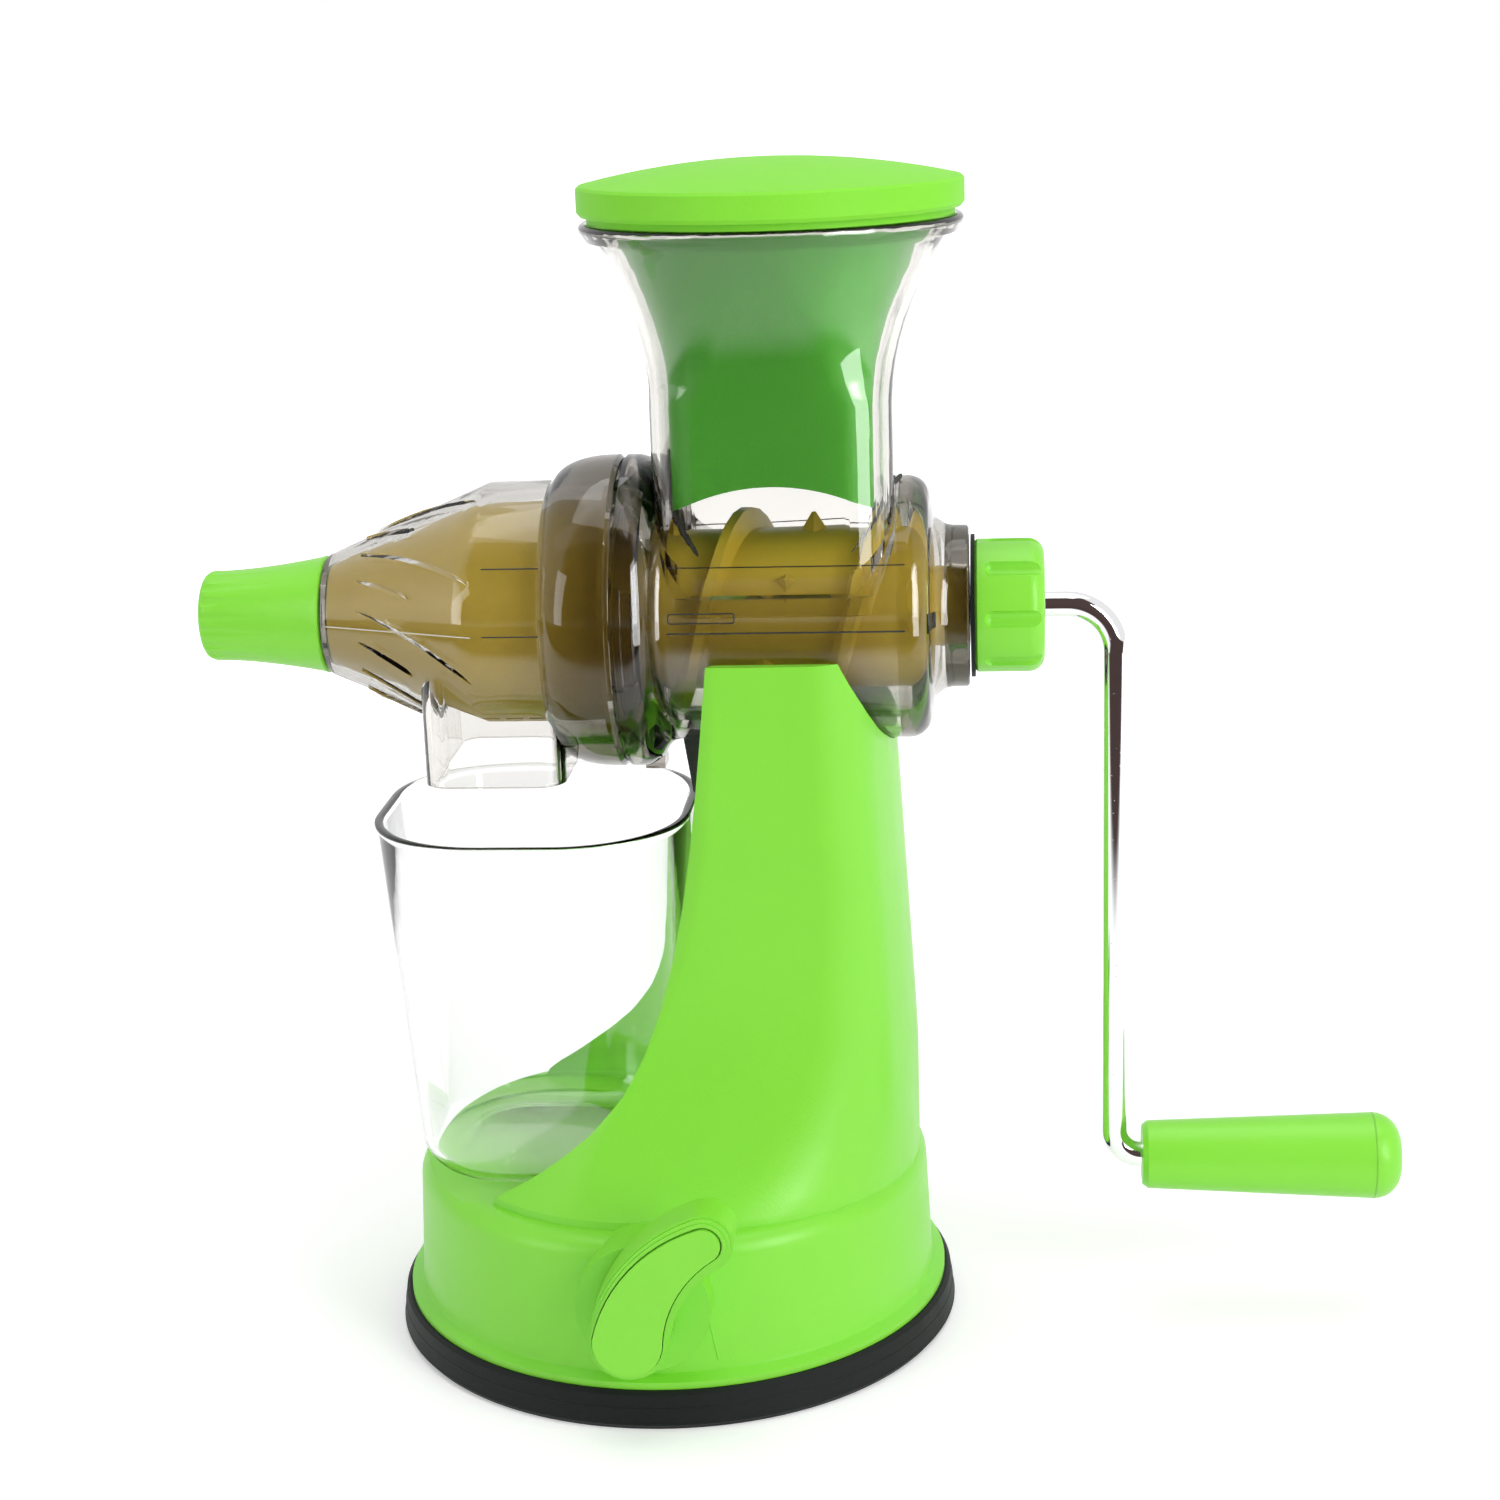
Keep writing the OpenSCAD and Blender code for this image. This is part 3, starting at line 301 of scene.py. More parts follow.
class StudioSettings(bpy.types.PropertyGroup):
    """Sizes of the studio round the juicer."""

    floor: bpy.props.FloatProperty(
        name="Floor", description="Side of the square floor", default=14, min=2, max=40, unit="LENGTH")
    table: bpy.props.FloatProperty(
        name="Table", description="How far the bright table reaches towards the camera",
        default=0.34, min=0.1, max=5, unit="LENGTH")
    lens: bpy.props.FloatProperty(
        name="Lens", description="Camera's focal length", default=66.1, min=20, max=200, unit="CAMERA")


def settings():
    scene = bpy.context.scene
    return scene.juicer_colours, scene.juicer_finish, scene.juicer_details, scene.juicer_studio


# Materials

def material(name):
    made = bpy.data.materials.new(name)
    made.use_nodes = True
    return made, Graph(made.node_tree)


def plastic(name, colour, gloss=0.36, drift=0.05, grain=1.0, shine=0.5):
    """Opaque moulded plastic: flow shade, fine grain, rubbed patches and hair scratches."""
    made, graph = material(name)
    finish = settings()[1]
    place = graph.place()
    flow = graph.noise(place, 22, 3)
    rubbed = graph.noise(place, 75, 4, 0.6)
    hair = graph.noise(graph.stretch(place, (1, 6, 0.35)), 900, 2).rise(0.66, 0.74)
    specks = 1 - graph.cells(place, 420).rise(0.02, 0.06)
    colour_here = graph.blend(flow, shade(colour, 1 - drift), shade(colour, 1 + drift))
    colour_here = graph.blend(specks * 0.35, colour_here, shade(colour, 0.72))
    rough = gloss - 0.05 + rubbed * 0.10 + hair * 0.08
    height = graph.noise(place, 1500, 2) * grain + graph.noise(place, 160, 2) * 1.6 + hair * 0.5
    shader = graph.node("ShaderNodeBsdfPrincipled", None, {
        "Base Color": colour_here, "Roughness": rough, "IOR": 1.5, "Specular IOR Level": shine,
        "Normal": graph.bump(height, finish.grain)})
    graph.finish(shader["BSDF"])
    return made


def clear(name, tint, density, gloss, pass_light, ripples=1.0, collar=None):
    """Clear moulded plastic with ripple and smudges, which darkens with its thickness, and with painted
    shade at the collar.
    """
    made, graph = material(name)
    finish = settings()[1]
    place = graph.place()
    smudge = graph.noise(place, 60, 4, 0.6).rise(0.52, 0.75)
    ripple = graph.noise(graph.stretch(place, (0.5, 1, 1)), 70, 2)
    rough = gloss + smudge * 0.05
    face = graph.blend(smudge, (1, 1, 1), (0.97, 0.97, 0.965))
    # Painted shade: the collar's faces take a darker colour
    if collar:
        face = graph.blend(collar_shade_share(graph, place), face, collar)
    solid = graph.node("ShaderNodeBsdfPrincipled", None, {
        "Base Color": face, "Roughness": rough, "IOR": 1.47, "Transmission Weight": 1,
        "Normal": graph.bump(ripple * ripples, finish.ripple)})
    through = graph.node("ShaderNodeBsdfTransparent", None, {"Color": rgba(pass_light)})
    shadow = graph.node("ShaderNodeLightPath")["Is Shadow Ray"]
    shown = graph.node("ShaderNodeMixShader", None, {0: shadow, 1: solid["BSDF"], 2: through["BSDF"]})
    inside = graph.node("ShaderNodeVolumeAbsorption", None, {"Color": rgba(tint), "Density": density})
    graph.finish(shown["Shader"], inside["Volume"])
    return made


def collar_shade_share(graph, place):
    """Where the collar's painted shade goes: one on the collar and nothing elsewhere."""
    fade = 0.0006
    x, y, z = graph.axes(place)
    radius = (y * y + (z - axis_z) ** 2) ** 0.5
    along = x.rise(collar_from, collar_from + fade) * (1 - x.rise(collar_to - fade, collar_to))
    within = 1 - radius.rise(collar_r, collar_r + 0.0005)
    return along * radius.rise(collar_inner_r, collar_full_r) * within


def rubber(name, colour):
    """Soft black rubber with a fine tooth, a dusty bloom and a few pale specks."""
    made, graph = material(name)
    place = graph.place()
    bloom = graph.noise(place, 34, 4, 0.6).rise(0.45, 0.8)
    specks = 1 - graph.cells(place, 300).rise(0.03, 0.07)
    colour_here = graph.blend(bloom * 0.5 + specks * 0.25, colour, shade(colour, 2.2))
    height = graph.noise(place, 1900, 3) + graph.noise(place, 240, 2) * 1.5
    shader = graph.node("ShaderNodeBsdfPrincipled", None, {
        "Base Color": colour_here, "Roughness": 0.55 + bloom * 0.16, "IOR": 1.3,
        "Normal": graph.bump(height, 0.00006)})
    graph.finish(shader["BSDF"])
    return made


def metal(name, colour, gloss, stain=0.0, pits=0.0):
    """Metal with drawn lines along it, faint stains and small pits."""
    made, graph = material(name)
    place = graph.place()
    drawn = graph.noise(graph.stretch(place, (1, 1, 0.05)), 1400, 2)
    cloud = graph.noise(place, 90, 4, 0.6)
    spots = 1 - graph.cells(place, 480).rise(0.03, 0.09)
    colour_here = graph.blend(cloud.rise(0.55, 0.8) * stain, colour, (0.34, 0.24, 0.19))
    colour_here = graph.blend(spots * pits, colour_here, shade(colour, 0.35))
    rough = gloss + cloud * gloss * 0.8 + spots * pits * 0.3
    shader = graph.node("ShaderNodeBsdfPrincipled", None, {
        "Base Color": colour_here, "Metallic": 1, "Roughness": rough,
        "Normal": graph.bump(drawn + spots * -2, 0.00001)})
    graph.finish(shader["BSDF"])
    return made


def dress(made, slot, *names):
    """Gives CAD nodes a material."""
    for name in names:
        mesh = nodes[name].data
        mesh.materials.clear()
        mesh.materials.append(made)


# Forms

def soften(crease, *names):
    """Joins the faces of CAD nodes in their modifiers, so that only real edges stay sharp."""
    tree = bpy.data.node_groups.new("soft_faces", "GeometryNodeTree")
    for direction in ("INPUT", "OUTPUT"):
        tree.interface.new_socket("Geometry", in_out=direction, socket_type="NodeSocketGeometry")
    graph = Graph(tree)
    solid = graph.node("NodeGroupInput")["Geometry"]
    same_place = 2e-6
    sockets = {"Geometry": solid, "Distance": same_place}
    joined = graph.node("GeometryNodeMergeByDistance", None, sockets)["Geometry"]
    sharp = graph.node("GeometryNodeInputMeshEdgeAngle")["Unsigned Angle"].over(crease)
    soft = graph.node("GeometryNodeSetMeshNormal", {"mode": "SHARPNESS"}, {
        "Mesh": joined, "Remove Custom": True, "Edge Sharpness": sharp, "Face Sharpness": False})["Mesh"]
    graph.node("NodeGroupOutput", {"is_active_output": True}, {"Geometry": soft})
    for name in names:
        nodes[name].modifiers.new("soft_faces", "NODES").node_group = tree
        even = nodes[name].modifiers.new("even_shade", "WEIGHTED_NORMAL")
        even.keep_sharp = True


def piece(name, form, made, body):
    """Makes an object of a mesh form, which rides on a body."""
    mesh = bpy.data.meshes.new(name)
    bmesh.ops.recalc_face_normals(form, faces=form.faces)
    form.to_mesh(mesh)
    form.free()
    mesh.polygons.foreach_set("use_smooth", [True] * len(mesh.polygons))
    mesh.set_sharp_from_angle(angle=sharp_from)
    mesh.materials.append(made)
    thing = bpy.data.objects.new(name, mesh)
    bpy.context.scene.collection.objects.link(thing)
    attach(thing, body)
    return thing


# Smallest angle between two faces of a made piece that stays a sharp edge
sharp_from = math.radians(50)

# Section of a raised strip, from side to side: across and up
rounded_top = ((-1, -1.2), (-0.92, 0.05), (-0.6, 0.72), (0, 1), (0.6, 0.72), (0.92, 0.05), (1, -1.2))


def strip(form, points, outs, half, high, closed=False, sizes=None):
    """A raised strip along points on a surface, round on top, sunk into it and tapered at its ends."""
    count = len(points)
    rings = []
    for i, (point, out) in enumerate(zip(points, outs)):
        before = points[i - 1] if closed or i else point
        after = points[(i + 1) % count] if closed or i < count - 1 else point
        side = (after - before).cross(out).normalized()
        size = sizes[i] if sizes else 1
        if not closed:
            size *= (0.35, 0.8, 1)[min(i, count - 1 - i, 2)]
        rings.append([form.verts.new(point + side * (half * size * x) + out * (high * size * y))
                      for x, y in rounded_top])
    spans = count if closed else count - 1
    for i in range(spans):
        ring, following = rings[i], rings[(i + 1) % count]
        for k in range(len(ring)):
            after = (k + 1) % len(ring)
            form.faces.new((ring[k], ring[after], following[after], following[k]))
    if not closed:
        form.faces.new(rings[0])
        form.faces.new(reversed(rings[-1]))


def steps(start, end, count, tip=0.0004):
    """Even places from start to end, with one more close to each end for the tapers."""
    tip = tip if end > start else -tip
    middle = [start + (end - start) * i / count for i in range(1, count)]
    return [start, start + tip / 2, start + tip, *middle, end - tip, end - tip / 2, end]


def on_turned(x, radius, turn, slope=0.0):
    """A point of a form turned about the barrel's axis, and the way out of it. Turn 0 is the near side."""
    out = Vector((0, -math.cos(turn), math.sin(turn)))
    return Vector((x, 0, axis_z)) + out * radius, (out - Vector((slope, 0, 0))).normalized()


def cone_radius(x):
    if x > cone_start:
        return cover_r
    return cover_r + (cone_tip_r - cover_r) * (cone_start - x) / (cone_start - cone_end)


def line_along(form, radius_at, start, end, degrees, half, high, count=10):
    """A strip along the barrel at an angle round it."""
    turn = math.radians(degrees)
    near = 1e-5
    points, outs = [], []
    for x in steps(start, end, count):
        slope = (radius_at(x + near) - radius_at(x - near)) / (2 * near)
        point, out = on_turned(x, radius_at(x), turn, slope)
        points.append(point)
        outs.append(out)
    strip(form, points, outs, half, high)


def ring_round(form, centre, axis, radius, half, high, count=128):
    """A strip in a circle."""
    first = axis.orthogonal().normalized()
    second = axis.cross(first).normalized()
    turns = [math.tau * i / count for i in range(count)]
    outs = [first * math.cos(turn) + second * math.sin(turn) for turn in turns]
    strip(form, [centre + out * radius for out in outs], outs, half, high, closed=True)


def rounded_loop(half_x, half_y, corner, count=8):
    """Points of a level rounded rectangle about the origin."""
    found = []
    for quarter in range(4):
        for k in range(count + 1):
            turn = math.pi / 2 * (quarter + k / count)
            out = Vector((math.cos(turn), math.sin(turn)))
            side_x = 1 if quarter in (0, 3) else -1
            side_y = 1 if quarter < 2 else -1
            middle = Vector((side_x * (half_x - corner), side_y * (half_y - corner)))
            found.append(middle + out * corner)
    return found


# Operators

class JUICER_OT_lime_parts(bpy.types.Operator):
    """Finish the green moulded pieces"""

    bl_idname = "juicer.lime_parts"
    bl_label = "Lime pieces"

    def execute(self, context):
        colours, finish, details, _ = settings()
        green = plastic("lime_plastic", colours.lime)
        dress(green, "lime_plastic", "stand_shell", "suction_lever", "lever_cap", "handle_nut",
              "handle_grip", "pulp_knob")
        dress(plastic("lid_plastic", colours.lime, 0.52, 0.05, 1.4, 0.2), "lime_plastic", "pusher_lid")
        # Painted shade: the plunger's darker green
        inner = plastic("plunger_shaded_plastic", colours.plunger, 0.42, 0.06)
        dress(inner, "lime_plastic", "pusher_body")
        soften(finish.crease, "stand_shell", "handle_nut", "handle_grip", "pusher_lid", "pulp_knob",
               "pusher_body")
        soften(finish.lever_crease, "suction_lever", "lever_cap")
        self.add_base_seam(green, details)
        self.add_grip_seam(colours, details)
        return {"FINISHED"}

    def add_base_seam(self, green, details):
        """The moulding seam that runs down the base beside the lever's boss."""
        form = bmesh.new()
        top, height = 0.0315, 0.0165
        start, drift = 12.3, 2.4
        points, outs = [], []
        for share in steps(0, 1, 8, 0.03):
            turn = math.radians(start + drift * share)
            out = Vector((math.sin(turn), -math.cos(turn), 0))
            level = top - height * share
            points.append(out * (drum_r - drum_draft * (level - drum_level)) + Vector((0, 0, level)))
            outs.append(out)
        strip(form, points, outs, details.seam_half, details.seam_high)
        piece("base_seam", form, green, "stand")

    def add_grip_seam(self, colours, details):
        """The ring where the grip's taper ends and its rounded end starts, drawn in a darker lime as
        painted shade.
        """
        form = bmesh.new()
        middle = (grip_low + grip_high) / 2
        end_round, sunk = 0.0071, 0.00004
        radius = (grip_high.z - grip_low.z) / 2 - sunk
        centre = Vector((grip_high.x - end_round, middle.y, middle.z))
        ring_round(form, centre, Vector((1, 0, 0)), radius, details.seam_half, details.seam_high * 0.5)
        # Painted shade: a darker copy of the lime
        seam_shade_lime = plastic("lime_seam_shade", shade(colours.lime, 0.72))
        piece("grip_seam_shade", form, seam_shade_lime, "grip")


class JUICER_OT_clear_parts(bpy.types.Operator):
    """Finish the smoky barrel and cover and the clear cup, with the lines moulded in them"""

    bl_idname = "juicer.clear_parts"
    bl_label = "Clear pieces"

    def execute(self, context):
        colours, finish, details, _ = settings()
        smoky = clear("smoky_clear", colours.smoke, finish.smoke_density, 0.03, (0.86, 0.85, 0.83),
                      collar=colours.collar)
        dress(smoky, "smoky_clear", "barrel_housing", "front_cover")
        glassy = clear("clear_plastic", (0.75, 0.9, 0.85), 8, 0.02, (0.97, 0.97, 0.97), 0.3)
        soften(finish.crease, "barrel_housing", "front_cover")
        cup = self.make_cup(glassy)
        for thing in (nodes["barrel_housing"], nodes["front_cover"], cup):
            bpy.data.collections["clear_pieces"].objects.link(thing)
        # Painted shade: the clear pieces' band edges, bar outline, shoulder window and throat corners are
        # opaque dark strips
        edge = plastic("clear_step_shade", colours.seam, 0.16, 0.15, 0.2)
        # Painted highlight: the cover's real parting line is drawn in an opaque pale colour for the light
        # it catches
        seam_highlight = plastic("clear_seam_highlight", (0.62, 0.60, 0.52), 0.2, 0.05, 0.2)
        self.add_barrel_lines(edge, details)
        self.add_cover_lines(edge, seam_highlight, details)
        self.add_bar(edge, details)
        self.add_notch(edge)
        self.add_beads(edge, details)
        return {"FINISHED"}

    def make_cup(self, glassy):
        """The cup with soft square sides, a rounded foot with a shallow dish under it, and a beaded rim."""
        form = bmesh.new()
        slope = (cup_half - cup_low_half) / (cup_high - cup_edge)
        inner_edge = cup_edge - cup_wall
        foot_half = cup_low_half - cup_edge
        dish, dish_rim = 0.00015, 0.0016
        parts = 12
        turns = [math.pi / 2 * k / parts for k in range(parts + 1)]
        # How far up a row is, and how far out from the side's own slope
        sides = (
            (0.030, 0), (0.060, 0), (0.0915, 0), (0.0922, 0.0001), (0.0928, 0.0004), (0.0932, 0.0006),
            (0.0937, 0.0006), (0.0940, 0.0003), (0.0940, -0.0011), (0.0938, -0.0016),
            (0.0933, -cup_wall), (0.060, -cup_wall), (0.030, -cup_wall))
        outline = [(dish, foot_half - dish_rim)]
        outline += [(cup_edge - cup_edge * math.cos(turn), foot_half + cup_edge * math.sin(turn))
                    for turn in turns]
        outline += [(height, cup_low_half + slope * (height - cup_edge) + out) for height, out in sides]
        outline += [(cup_edge - inner_edge * math.cos(turn), foot_half + inner_edge * math.sin(turn))
                    for turn in reversed(turns)]
        rows = [self.cup_row(form, cup_foot + height, half) for height, half in outline]
        for line, following in zip(rows, rows[1:]):
            for k in range(len(line)):
                after = (k + 1) % len(line)
                form.faces.new((line[k], line[after], following[after], following[k]))
        form.faces.new(rows[0])
        form.faces.new(rows[-1])
        cup = piece("cup_body", form, glassy, "cup")
        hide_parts("juice_cup")
        return cup

    def cup_row(self, form, level, half):
        """Points round the cup at a level, with its four corners as quarter circles."""
        corner = half - cup_flat
        return [form.verts.new((cup_x + spot.x, spot.y, level))
                for spot in rounded_loop(half, half, corner, 24)]

    def add_barrel_lines(self, edge, details):
        """The edges of the thicker band along each side of the barrel, drawn as strips of painted shade."""
        for side, far in (("near", False), ("far", True)):
            for level, degrees, wide in (("upper", 29.8, 0.7), ("lower", 1.6, 1.0)):
                form = bmesh.new()
                turn = 180 - degrees if far else degrees
                line_along(form, lambda x: barrel_r, barrel_from, barrel_end, turn,
                           details.line_half * wide, details.line_high * wide)
                piece(f"barrel_step_{side}_{level}", form, edge, "stand")

    def add_cover_lines(self, edge, seam_highlight, details):
        """The cover's parting line down its cone, drawn pale as a painted highlight, and the band's edges
        on its straight part, drawn as painted shade.
        """
        for side, far in (("near", False), ("far", True)):
            form = bmesh.new()
            turn = 179 if far else 1
            line_along(form, cone_radius, cone_start - 0.0008, cone_end + 0.002, turn,
                       details.line_half * 0.7, details.line_high, 14)
            piece(f"cover_seam_{side}", form, seam_highlight, "cover")
            for level, degrees in (("upper", 30.3), ("lower", 1.3)):
                form = bmesh.new()
                turn = 180 - degrees if far else degrees
                line_along(form, cone_radius, straight_from, straight_to, turn,
                           details.line_half * 0.8, details.line_high, 5)
                piece(f"cover_step_{side}_{level}", form, edge, "cover")

    def add_bar(self, edge, details):
        """The outline of the raised bar beside the flange, drawn as a strip of painted shade."""
        form = bmesh.new()
        middle_x, middle_turn = 0.0160, math.radians(8)
        half_long, half_wide, corner = 0.0080, 0.00115, 0.0006
        points, outs = [], []
        for spot in rounded_loop(half_long, half_wide, corner, 5):
            point, out = on_turned(middle_x + spot.x, barrel_r, middle_turn + spot.y / barrel_r)
            points.append(point)
            outs.append(out)
        strip(form, points, outs, details.line_half * 0.8, details.line_high, closed=True)
        piece("barrel_bar_shade", form, edge, "stand")

    def add_notch(self, edge):
        """The small dark window on the barrel's shoulder, a patch of painted shade."""
        form = bmesh.new()
        over, under = 0.00022, -0.0003
        turns = [math.radians(-1 + 9.5 * k / 6) for k in range(7)]
        profile = self.notch_profile()
        rows = []
        for level in (over, under):
            rows.append([])
            for x, radius, out_x, out_r in profile:
                line = []
                for turn in turns:
                    away = Vector((0, -math.cos(turn), math.sin(turn)))
                    foot = Vector((x + out_x * level, 0, axis_z))
                    line.append(form.verts.new(foot + away * (radius + out_r * level)))
                rows[-1].append(line)
        top, low = rows
        for i in range(len(profile) - 1):
            for k in range(6):
                form.faces.new((top[i][k], top[i][k + 1], top[i + 1][k + 1], top[i + 1][k]))
                form.faces.new((low[i][k + 1], low[i][k], low[i + 1][k], low[i + 1][k + 1]))
            for k in (0, 6):
                form.faces.new((top[i][k], top[i + 1][k], low[i + 1][k], low[i][k]))
        for i in (0, len(profile) - 1):
            for k in range(6):
                form.faces.new((top[i][k], top[i][k + 1], low[i][k + 1], low[i][k]))
        piece("shoulder_window_shade", form, edge, "stand")

    def notch_profile(self):
        """The window's length down the shoulder and up the neck: along, radius, and the way out in both."""
        flat = 0.0004
        shoulder_turn, neck_turn = 22, 34
        neck_x = barrel_end + shoulder_r + neck_round + flat
        profile = []
        for k in range(6):
            turn = math.radians(shoulder_turn - shoulder_turn * k / 5)
            out_x, out_r = math.cos(turn), math.sin(turn)
            profile.append((barrel_end + shoulder_r * out_x, barrel_r - shoulder_r + shoulder_r * out_r,
                            out_x, out_r))
        for k in range(5):
            turn = math.radians(180 + neck_turn * k / 4)
            out_x, out_r = -math.cos(turn), -math.sin(turn)
            profile.append((neck_x - neck_round * out_x, neck_r + neck_round - neck_round * out_r,
                            out_x, out_r))
        return profile

    def add_beads(self, edge, details):
        """The thick moulded corners where the hopper stands on the barrel, drawn out to a point as dark
        strips of painted shade.
        """
        millimetres = 1000
        narrowing = 0.78
        # Side, width, lean and route, from its top down to its point
        for side, wide, lean, places in (
            ("left", 1.7, -0.3, (
                (5.1, -7, 231), (5.35, -8, 228.7), (5.9, -9.5, 226.4), (6.6, -11, 223.2),
                (7.6, -13.5, 219.4), (9.3, -18.5, 216.0), (11.3, -22.1, 213.1), (13.6, -25.0, 210.2),
                (15.4, -26.8, 207.8))),
            ("right", 0.62, 0.3, (
                (63.7, -3, 222.9), (62.6, -5, 221.7), (61.3, -9.0, 220.4), (59.4, -16.1, 217.5),
                (57.1, -20.8, 214.2), (54.5, -24.1, 211.1), (52.1, -26.6, 208.1))),
        ):
            form = bmesh.new()
            away = Vector((lean, -0.85, 0.45)).normalized()
            points = self.smooth([Vector(place) / millimetres for place in places], 4)
            last = len(points) - 1
            sizes = [wide * (1 - narrowing * i / last) for i in range(last + 1)]
            strip(form, points, [away] * len(points), details.bead_half, details.bead_high, sizes=sizes)
            piece(f"throat_corner_{side}", form, edge, "stand")

    def smooth(self, points, parts):
        """Points along a smooth curve through the given ones."""
        line = []
        held = [points[0], *points, points[-1]]
        for before, start, end, after in zip(held, held[1:], held[2:], held[3:]):
            slope = end - before
            bend = 2 * before - 5 * start + 4 * end - after
            twist = 3 * start - before - 3 * end + after
            for k in range(parts):
                t = k / parts
                line.append(start + (slope * t + bend * t ** 2 + twist * t ** 3) / 2)
        return [*line, points[-1]]


class JUICER_OT_pressing_parts(bpy.types.Operator):
    """Finish the screw and strainer inside the barrel"""

    bl_idname = "juicer.pressing_parts"
    bl_label = "Screw and strainer"

    def execute(self, context):
        colours, finish, _, _ = settings()
        dress(plastic("screw_plastic", colours.screw, 0.33, 0.10), "screw_plastic", "auger")
        dress(plastic("strainer_plastic", colours.sieve, 0.36, 0.10), "strainer_plastic", "strainer")
        soften(finish.crease, "auger", "strainer")
        return {"FINISHED"}


class JUICER_OT_metal_parts(bpy.types.Operator):
    """Finish the chromed crank and the steel pieces"""

    bl_idname = "juicer.metal_parts"
    bl_label = "Metal pieces"

    def execute(self, context):
        colours = settings()[0]
        dress(metal("chrome", colours.chrome, 0.04, 0.2, 0.5), "chrome", "crank_rod")
        bare = metal("steel", colours.steel, 0.22, 0.2, 0.3)
        dress(bare, "steel", "pad_stem", "bridge_screws", "lever_shaft", "lever_screw", "shaft_clip",
              "foot_screw", "drive_stud", "grip_clip")
        self.make_spring(bare)
        return {"FINISHED"}

    def make_spring(self, bare):
        """The coil under the bridge, copied from the CAD spring with its doubled points joined."""
        low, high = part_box("pad_spring")
        rise = next(joint for joint in frame["joints"] if joint["name"] == "stem_lift")
        keep = 1 - rise["range_m"][1] / (high.z - low.z)
        form = bmesh.new()
        form.from_mesh(nodes["pad_spring"].data)
        bmesh.ops.remove_doubles(form, verts=form.verts, dist=1e-6)
        spring = piece("spring_coil", form, bare, "stand")
        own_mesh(spring)
        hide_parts("pad_spring")


class JUICER_OT_rubber_parts(bpy.types.Operator):
    """Finish the rubber pad and seals and the dark inner plastic"""

    bl_idname = "juicer.rubber_parts"
    bl_label = "Rubber and dark pieces"

    def execute(self, context):
        colours, _, details, _ = settings()
        black = rubber("rubber", colours.rubber)
        dress(black, "rubber", "suction_pad", "cover_gasket", "pulp_seal", "neck_washer")
        dress(plastic("dark_plastic", colours.dark, 0.42, 0.1), "dark_plastic", "pad_plate", "guide_bridge",
              "barrel_foot")
        form = bmesh.new()
        for level, inset in ((0.0019, 0.00012), (0.0056, 0.00058)):
            ring_round(form, Vector((0, 0, level)), Vector((0, 0, 1)), pad_high.x - inset,
                       details.seam_half, details.seam_high * 0.6, 200)
        piece("pad_ridges", form, black, "stand")
        return {"FINISHED"}


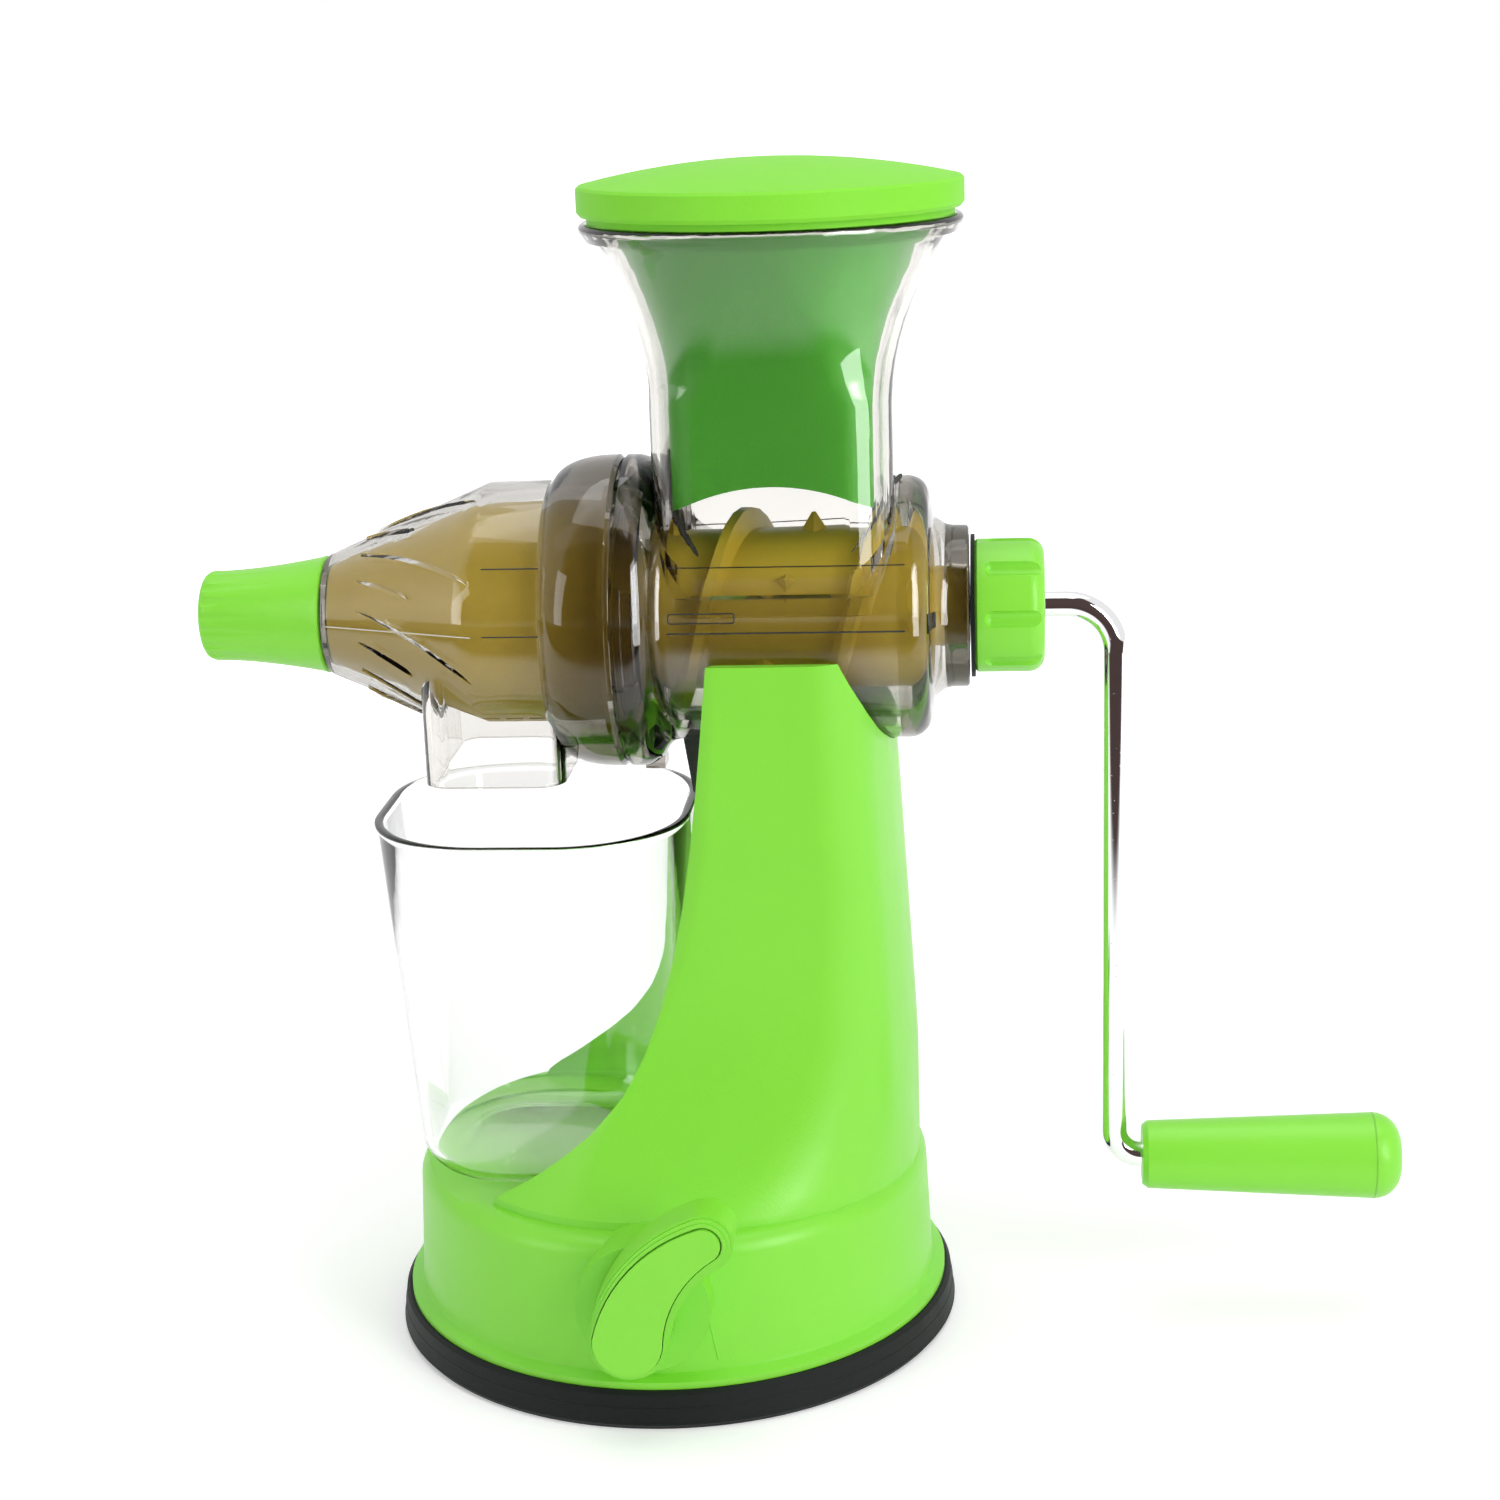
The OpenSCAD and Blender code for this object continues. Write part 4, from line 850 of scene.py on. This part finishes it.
class JUICER_OT_studio(bpy.types.Operator):
    """Set up the floor, lamps, surroundings and camera"""

    bl_idname = "juicer.studio"
    bl_label = "Studio"

    def execute(self, context):
        studio = settings()[3]
        scene = context.scene
        scene.view_settings.view_transform = "Standard"
        self.lay_floor(studio)
        self.light_world(scene)
        # Name, place, what it looks at, width, height and watts. Only the clear pieces see the glint
        for name, spot, aim, wide, high, power in (
            ("right_softbox", (0.95, -0.80, 0.62), (0.02, 0, 0.16), 0.40, 0.95, 9),
            ("left_softbox", (-1.00, -0.85, 0.55), (-0.02, 0, 0.16), 0.35, 0.80, 3.2),
            ("top_softbox", (0.05, 0.10, 1.45), (0, 0, 0.15), 1.1, 1.1, 7.6),
            ("clear_glint", (0.60, -0.46, 0.36), (0.05, 0, 0.36), 0.42, 0.70, 10),
        ):
            lamp = bpy.data.lights.new(name, "AREA")
            lamp.shape, lamp.size, lamp.size_y, lamp.energy = "RECTANGLE", wide, high, power
            holder = bpy.data.objects.new(name, lamp)
            self.put(holder, spot, aim)
            if name == "clear_glint":
                holder.light_linking.receiver_collection = bpy.data.collections.new("clear_pieces")
                holder.visible_transmission = holder.visible_diffuse = False
        self.put_camera(scene, studio.lens)
        return {"FINISHED"}

    def put(self, thing, spot, aim):
        thing.location = spot
        thing.rotation_euler = (Vector(aim) - Vector(spot)).to_track_quat("-Z", "Y").to_euler()
        bpy.context.scene.collection.objects.link(thing)

    def lay_floor(self, studio):
        """White paper that stays white into the distance; only reflections see where the table ends."""
        mesh = bpy.data.meshes.new("floor")
        form = bmesh.new()
        bmesh.ops.create_grid(form, x_segments=1, y_segments=1, size=studio.floor / 2)
        form.to_mesh(mesh)
        form.free()
        floor = bpy.data.objects.new("floor", mesh)
        bpy.context.scene.collection.objects.link(floor)
        made, graph = material("floor_paper")
        place = graph.place()
        x, y, _ = graph.axes(place)
        path = graph.node("ShaderNodeLightPath")
        seen = path["Is Camera Ray"].larger(path["Is Transmission Ray"]).larger(path["Is Glossy Ray"])
        far = ((x * x + y * y) ** 0.5).rise(0.25, 0.9)
        glow = graph.blend(seen, (0, 0, 0), graph.blend(far, (0.30, 0.30, 0.30), (0.95, 0.95, 0.95)))
        paper = graph.node("ShaderNodeBsdfPrincipled", None, {
            "Base Color": (0.90, 0.90, 0.90, 1), "Roughness": 0.8,
            "Normal": graph.bump(graph.noise(place, 400, 2), 0.00005),
            "Emission Color": glow, "Emission Strength": 1})
        room = graph.node("ShaderNodeEmission", None, {"Color": (0.075, 0.050, 0.048, 1)})
        front = (y * -1).rise(studio.table * 0.8, studio.table * 1.25)
        shown = graph.node("ShaderNodeMixShader", None, {
            0: front * path["Is Glossy Ray"], 1: paper["BSDF"], 2: room["Emission"]})
        graph.finish(shown["Shader"])
        mesh.materials.append(made)

    def light_world(self, scene):
        """White for the eye, plain light for the pieces, and a dim room in front for reflections."""
        world = bpy.data.worlds.new("studio_air")
        world.use_nodes = True
        scene.world = world
        graph = Graph(world.node_tree)
        path = graph.node("ShaderNodeLightPath")
        x, y, z = graph.axes(graph.node("ShaderNodeTexCoord")["Generated"])
        room = (z * 0.25 - y - x.size() * 0.84).rise(0.0, 0.2)
        mirrored = graph.blend(room, (0.95, 0.95, 0.95), (0.085, 0.058, 0.055))
        bent = graph.blend(room * z.rise(0.0, 0.1), (1, 1, 1), (0.06, 0.055, 0.052))
        soft = graph.blend(z.rise(-0.2, 0.9), (0.36, 0.36, 0.36), (0.46, 0.46, 0.46))
        air = graph.blend(path["Is Glossy Ray"], soft, mirrored)
        air = graph.blend(path["Is Transmission Ray"], air, bent)
        air = graph.blend(path["Is Camera Ray"], air, (1, 1, 1))
        glow = graph.node("ShaderNodeBackground", None, {"Color": air, "Strength": 1})
        graph.node("ShaderNodeOutputWorld", None, {"Surface": glow["Background"]})

    def put_camera(self, scene, lens):
        """Stands the camera where the photograph was taken from."""
        spot = (0.08768, -0.67434, 0.33481)
        yaw, pitch, roll = -0.09458, 0.26344, -0.03347
        ahead = Vector((math.sin(yaw) * math.cos(pitch), math.cos(yaw) * math.cos(pitch), -math.sin(pitch)))
        side = Vector((math.cos(yaw), -math.sin(yaw), 0))
        up = side.cross(ahead)
        right = math.cos(roll) * side + math.sin(roll) * up
        top = math.cos(roll) * up - math.sin(roll) * side
        data = bpy.data.cameras.new("camera")
        data.lens = lens
        data.sensor_width = 36
        data.clip_start, data.clip_end = 0.01, 60
        camera = bpy.data.objects.new("camera", data)
        turn = Matrix((right, top, -ahead)).transposed().to_4x4()
        camera.matrix_world = Matrix.Translation(spot) @ turn
        scene.collection.objects.link(camera)
        scene.camera = camera


class VIEW3D_PT_juicer(bpy.types.Panel):
    """Lists the juicer's steps and settings"""

    bl_label = "Juicer"
    bl_space_type = "VIEW_3D"
    bl_region_type = "UI"
    bl_category = "Juicer"

    def draw(self, context):
        for group in settings():
            for name in group.bl_rna.properties.keys():
                if name not in ("rna_type", "name"):
                    self.layout.prop(group, name)
        for step in STEPS:
            self.layout.operator(step.bl_idname)


STEPS = (
    JUICER_OT_studio,
    JUICER_OT_lime_parts,
    JUICER_OT_clear_parts,
    JUICER_OT_pressing_parts,
    JUICER_OT_metal_parts,
    JUICER_OT_rubber_parts,
)
GROUPS = {
    "juicer_colours": JuicerColours,
    "juicer_finish": JuicerFinish,
    "juicer_details": JuicerDetails,
    "juicer_studio": StudioSettings,
}


def register():
    for kind in (*GROUPS.values(), *STEPS, VIEW3D_PT_juicer):
        bpy.utils.register_class(kind)
    for name, kind in GROUPS.items():
        setattr(bpy.types.Scene, name, bpy.props.PointerProperty(type=kind))


def unregister():
    for name in GROUPS:
        delattr(bpy.types.Scene, name)
    for kind in (VIEW3D_PT_juicer, *reversed(STEPS), *reversed(GROUPS.values())):
        bpy.utils.unregister_class(kind)


def main():
    register()
    for step in STEPS:
        family, name = step.bl_idname.split(".")
        getattr(getattr(bpy.ops, family), name)()


if __name__ == "__main__":
    main()
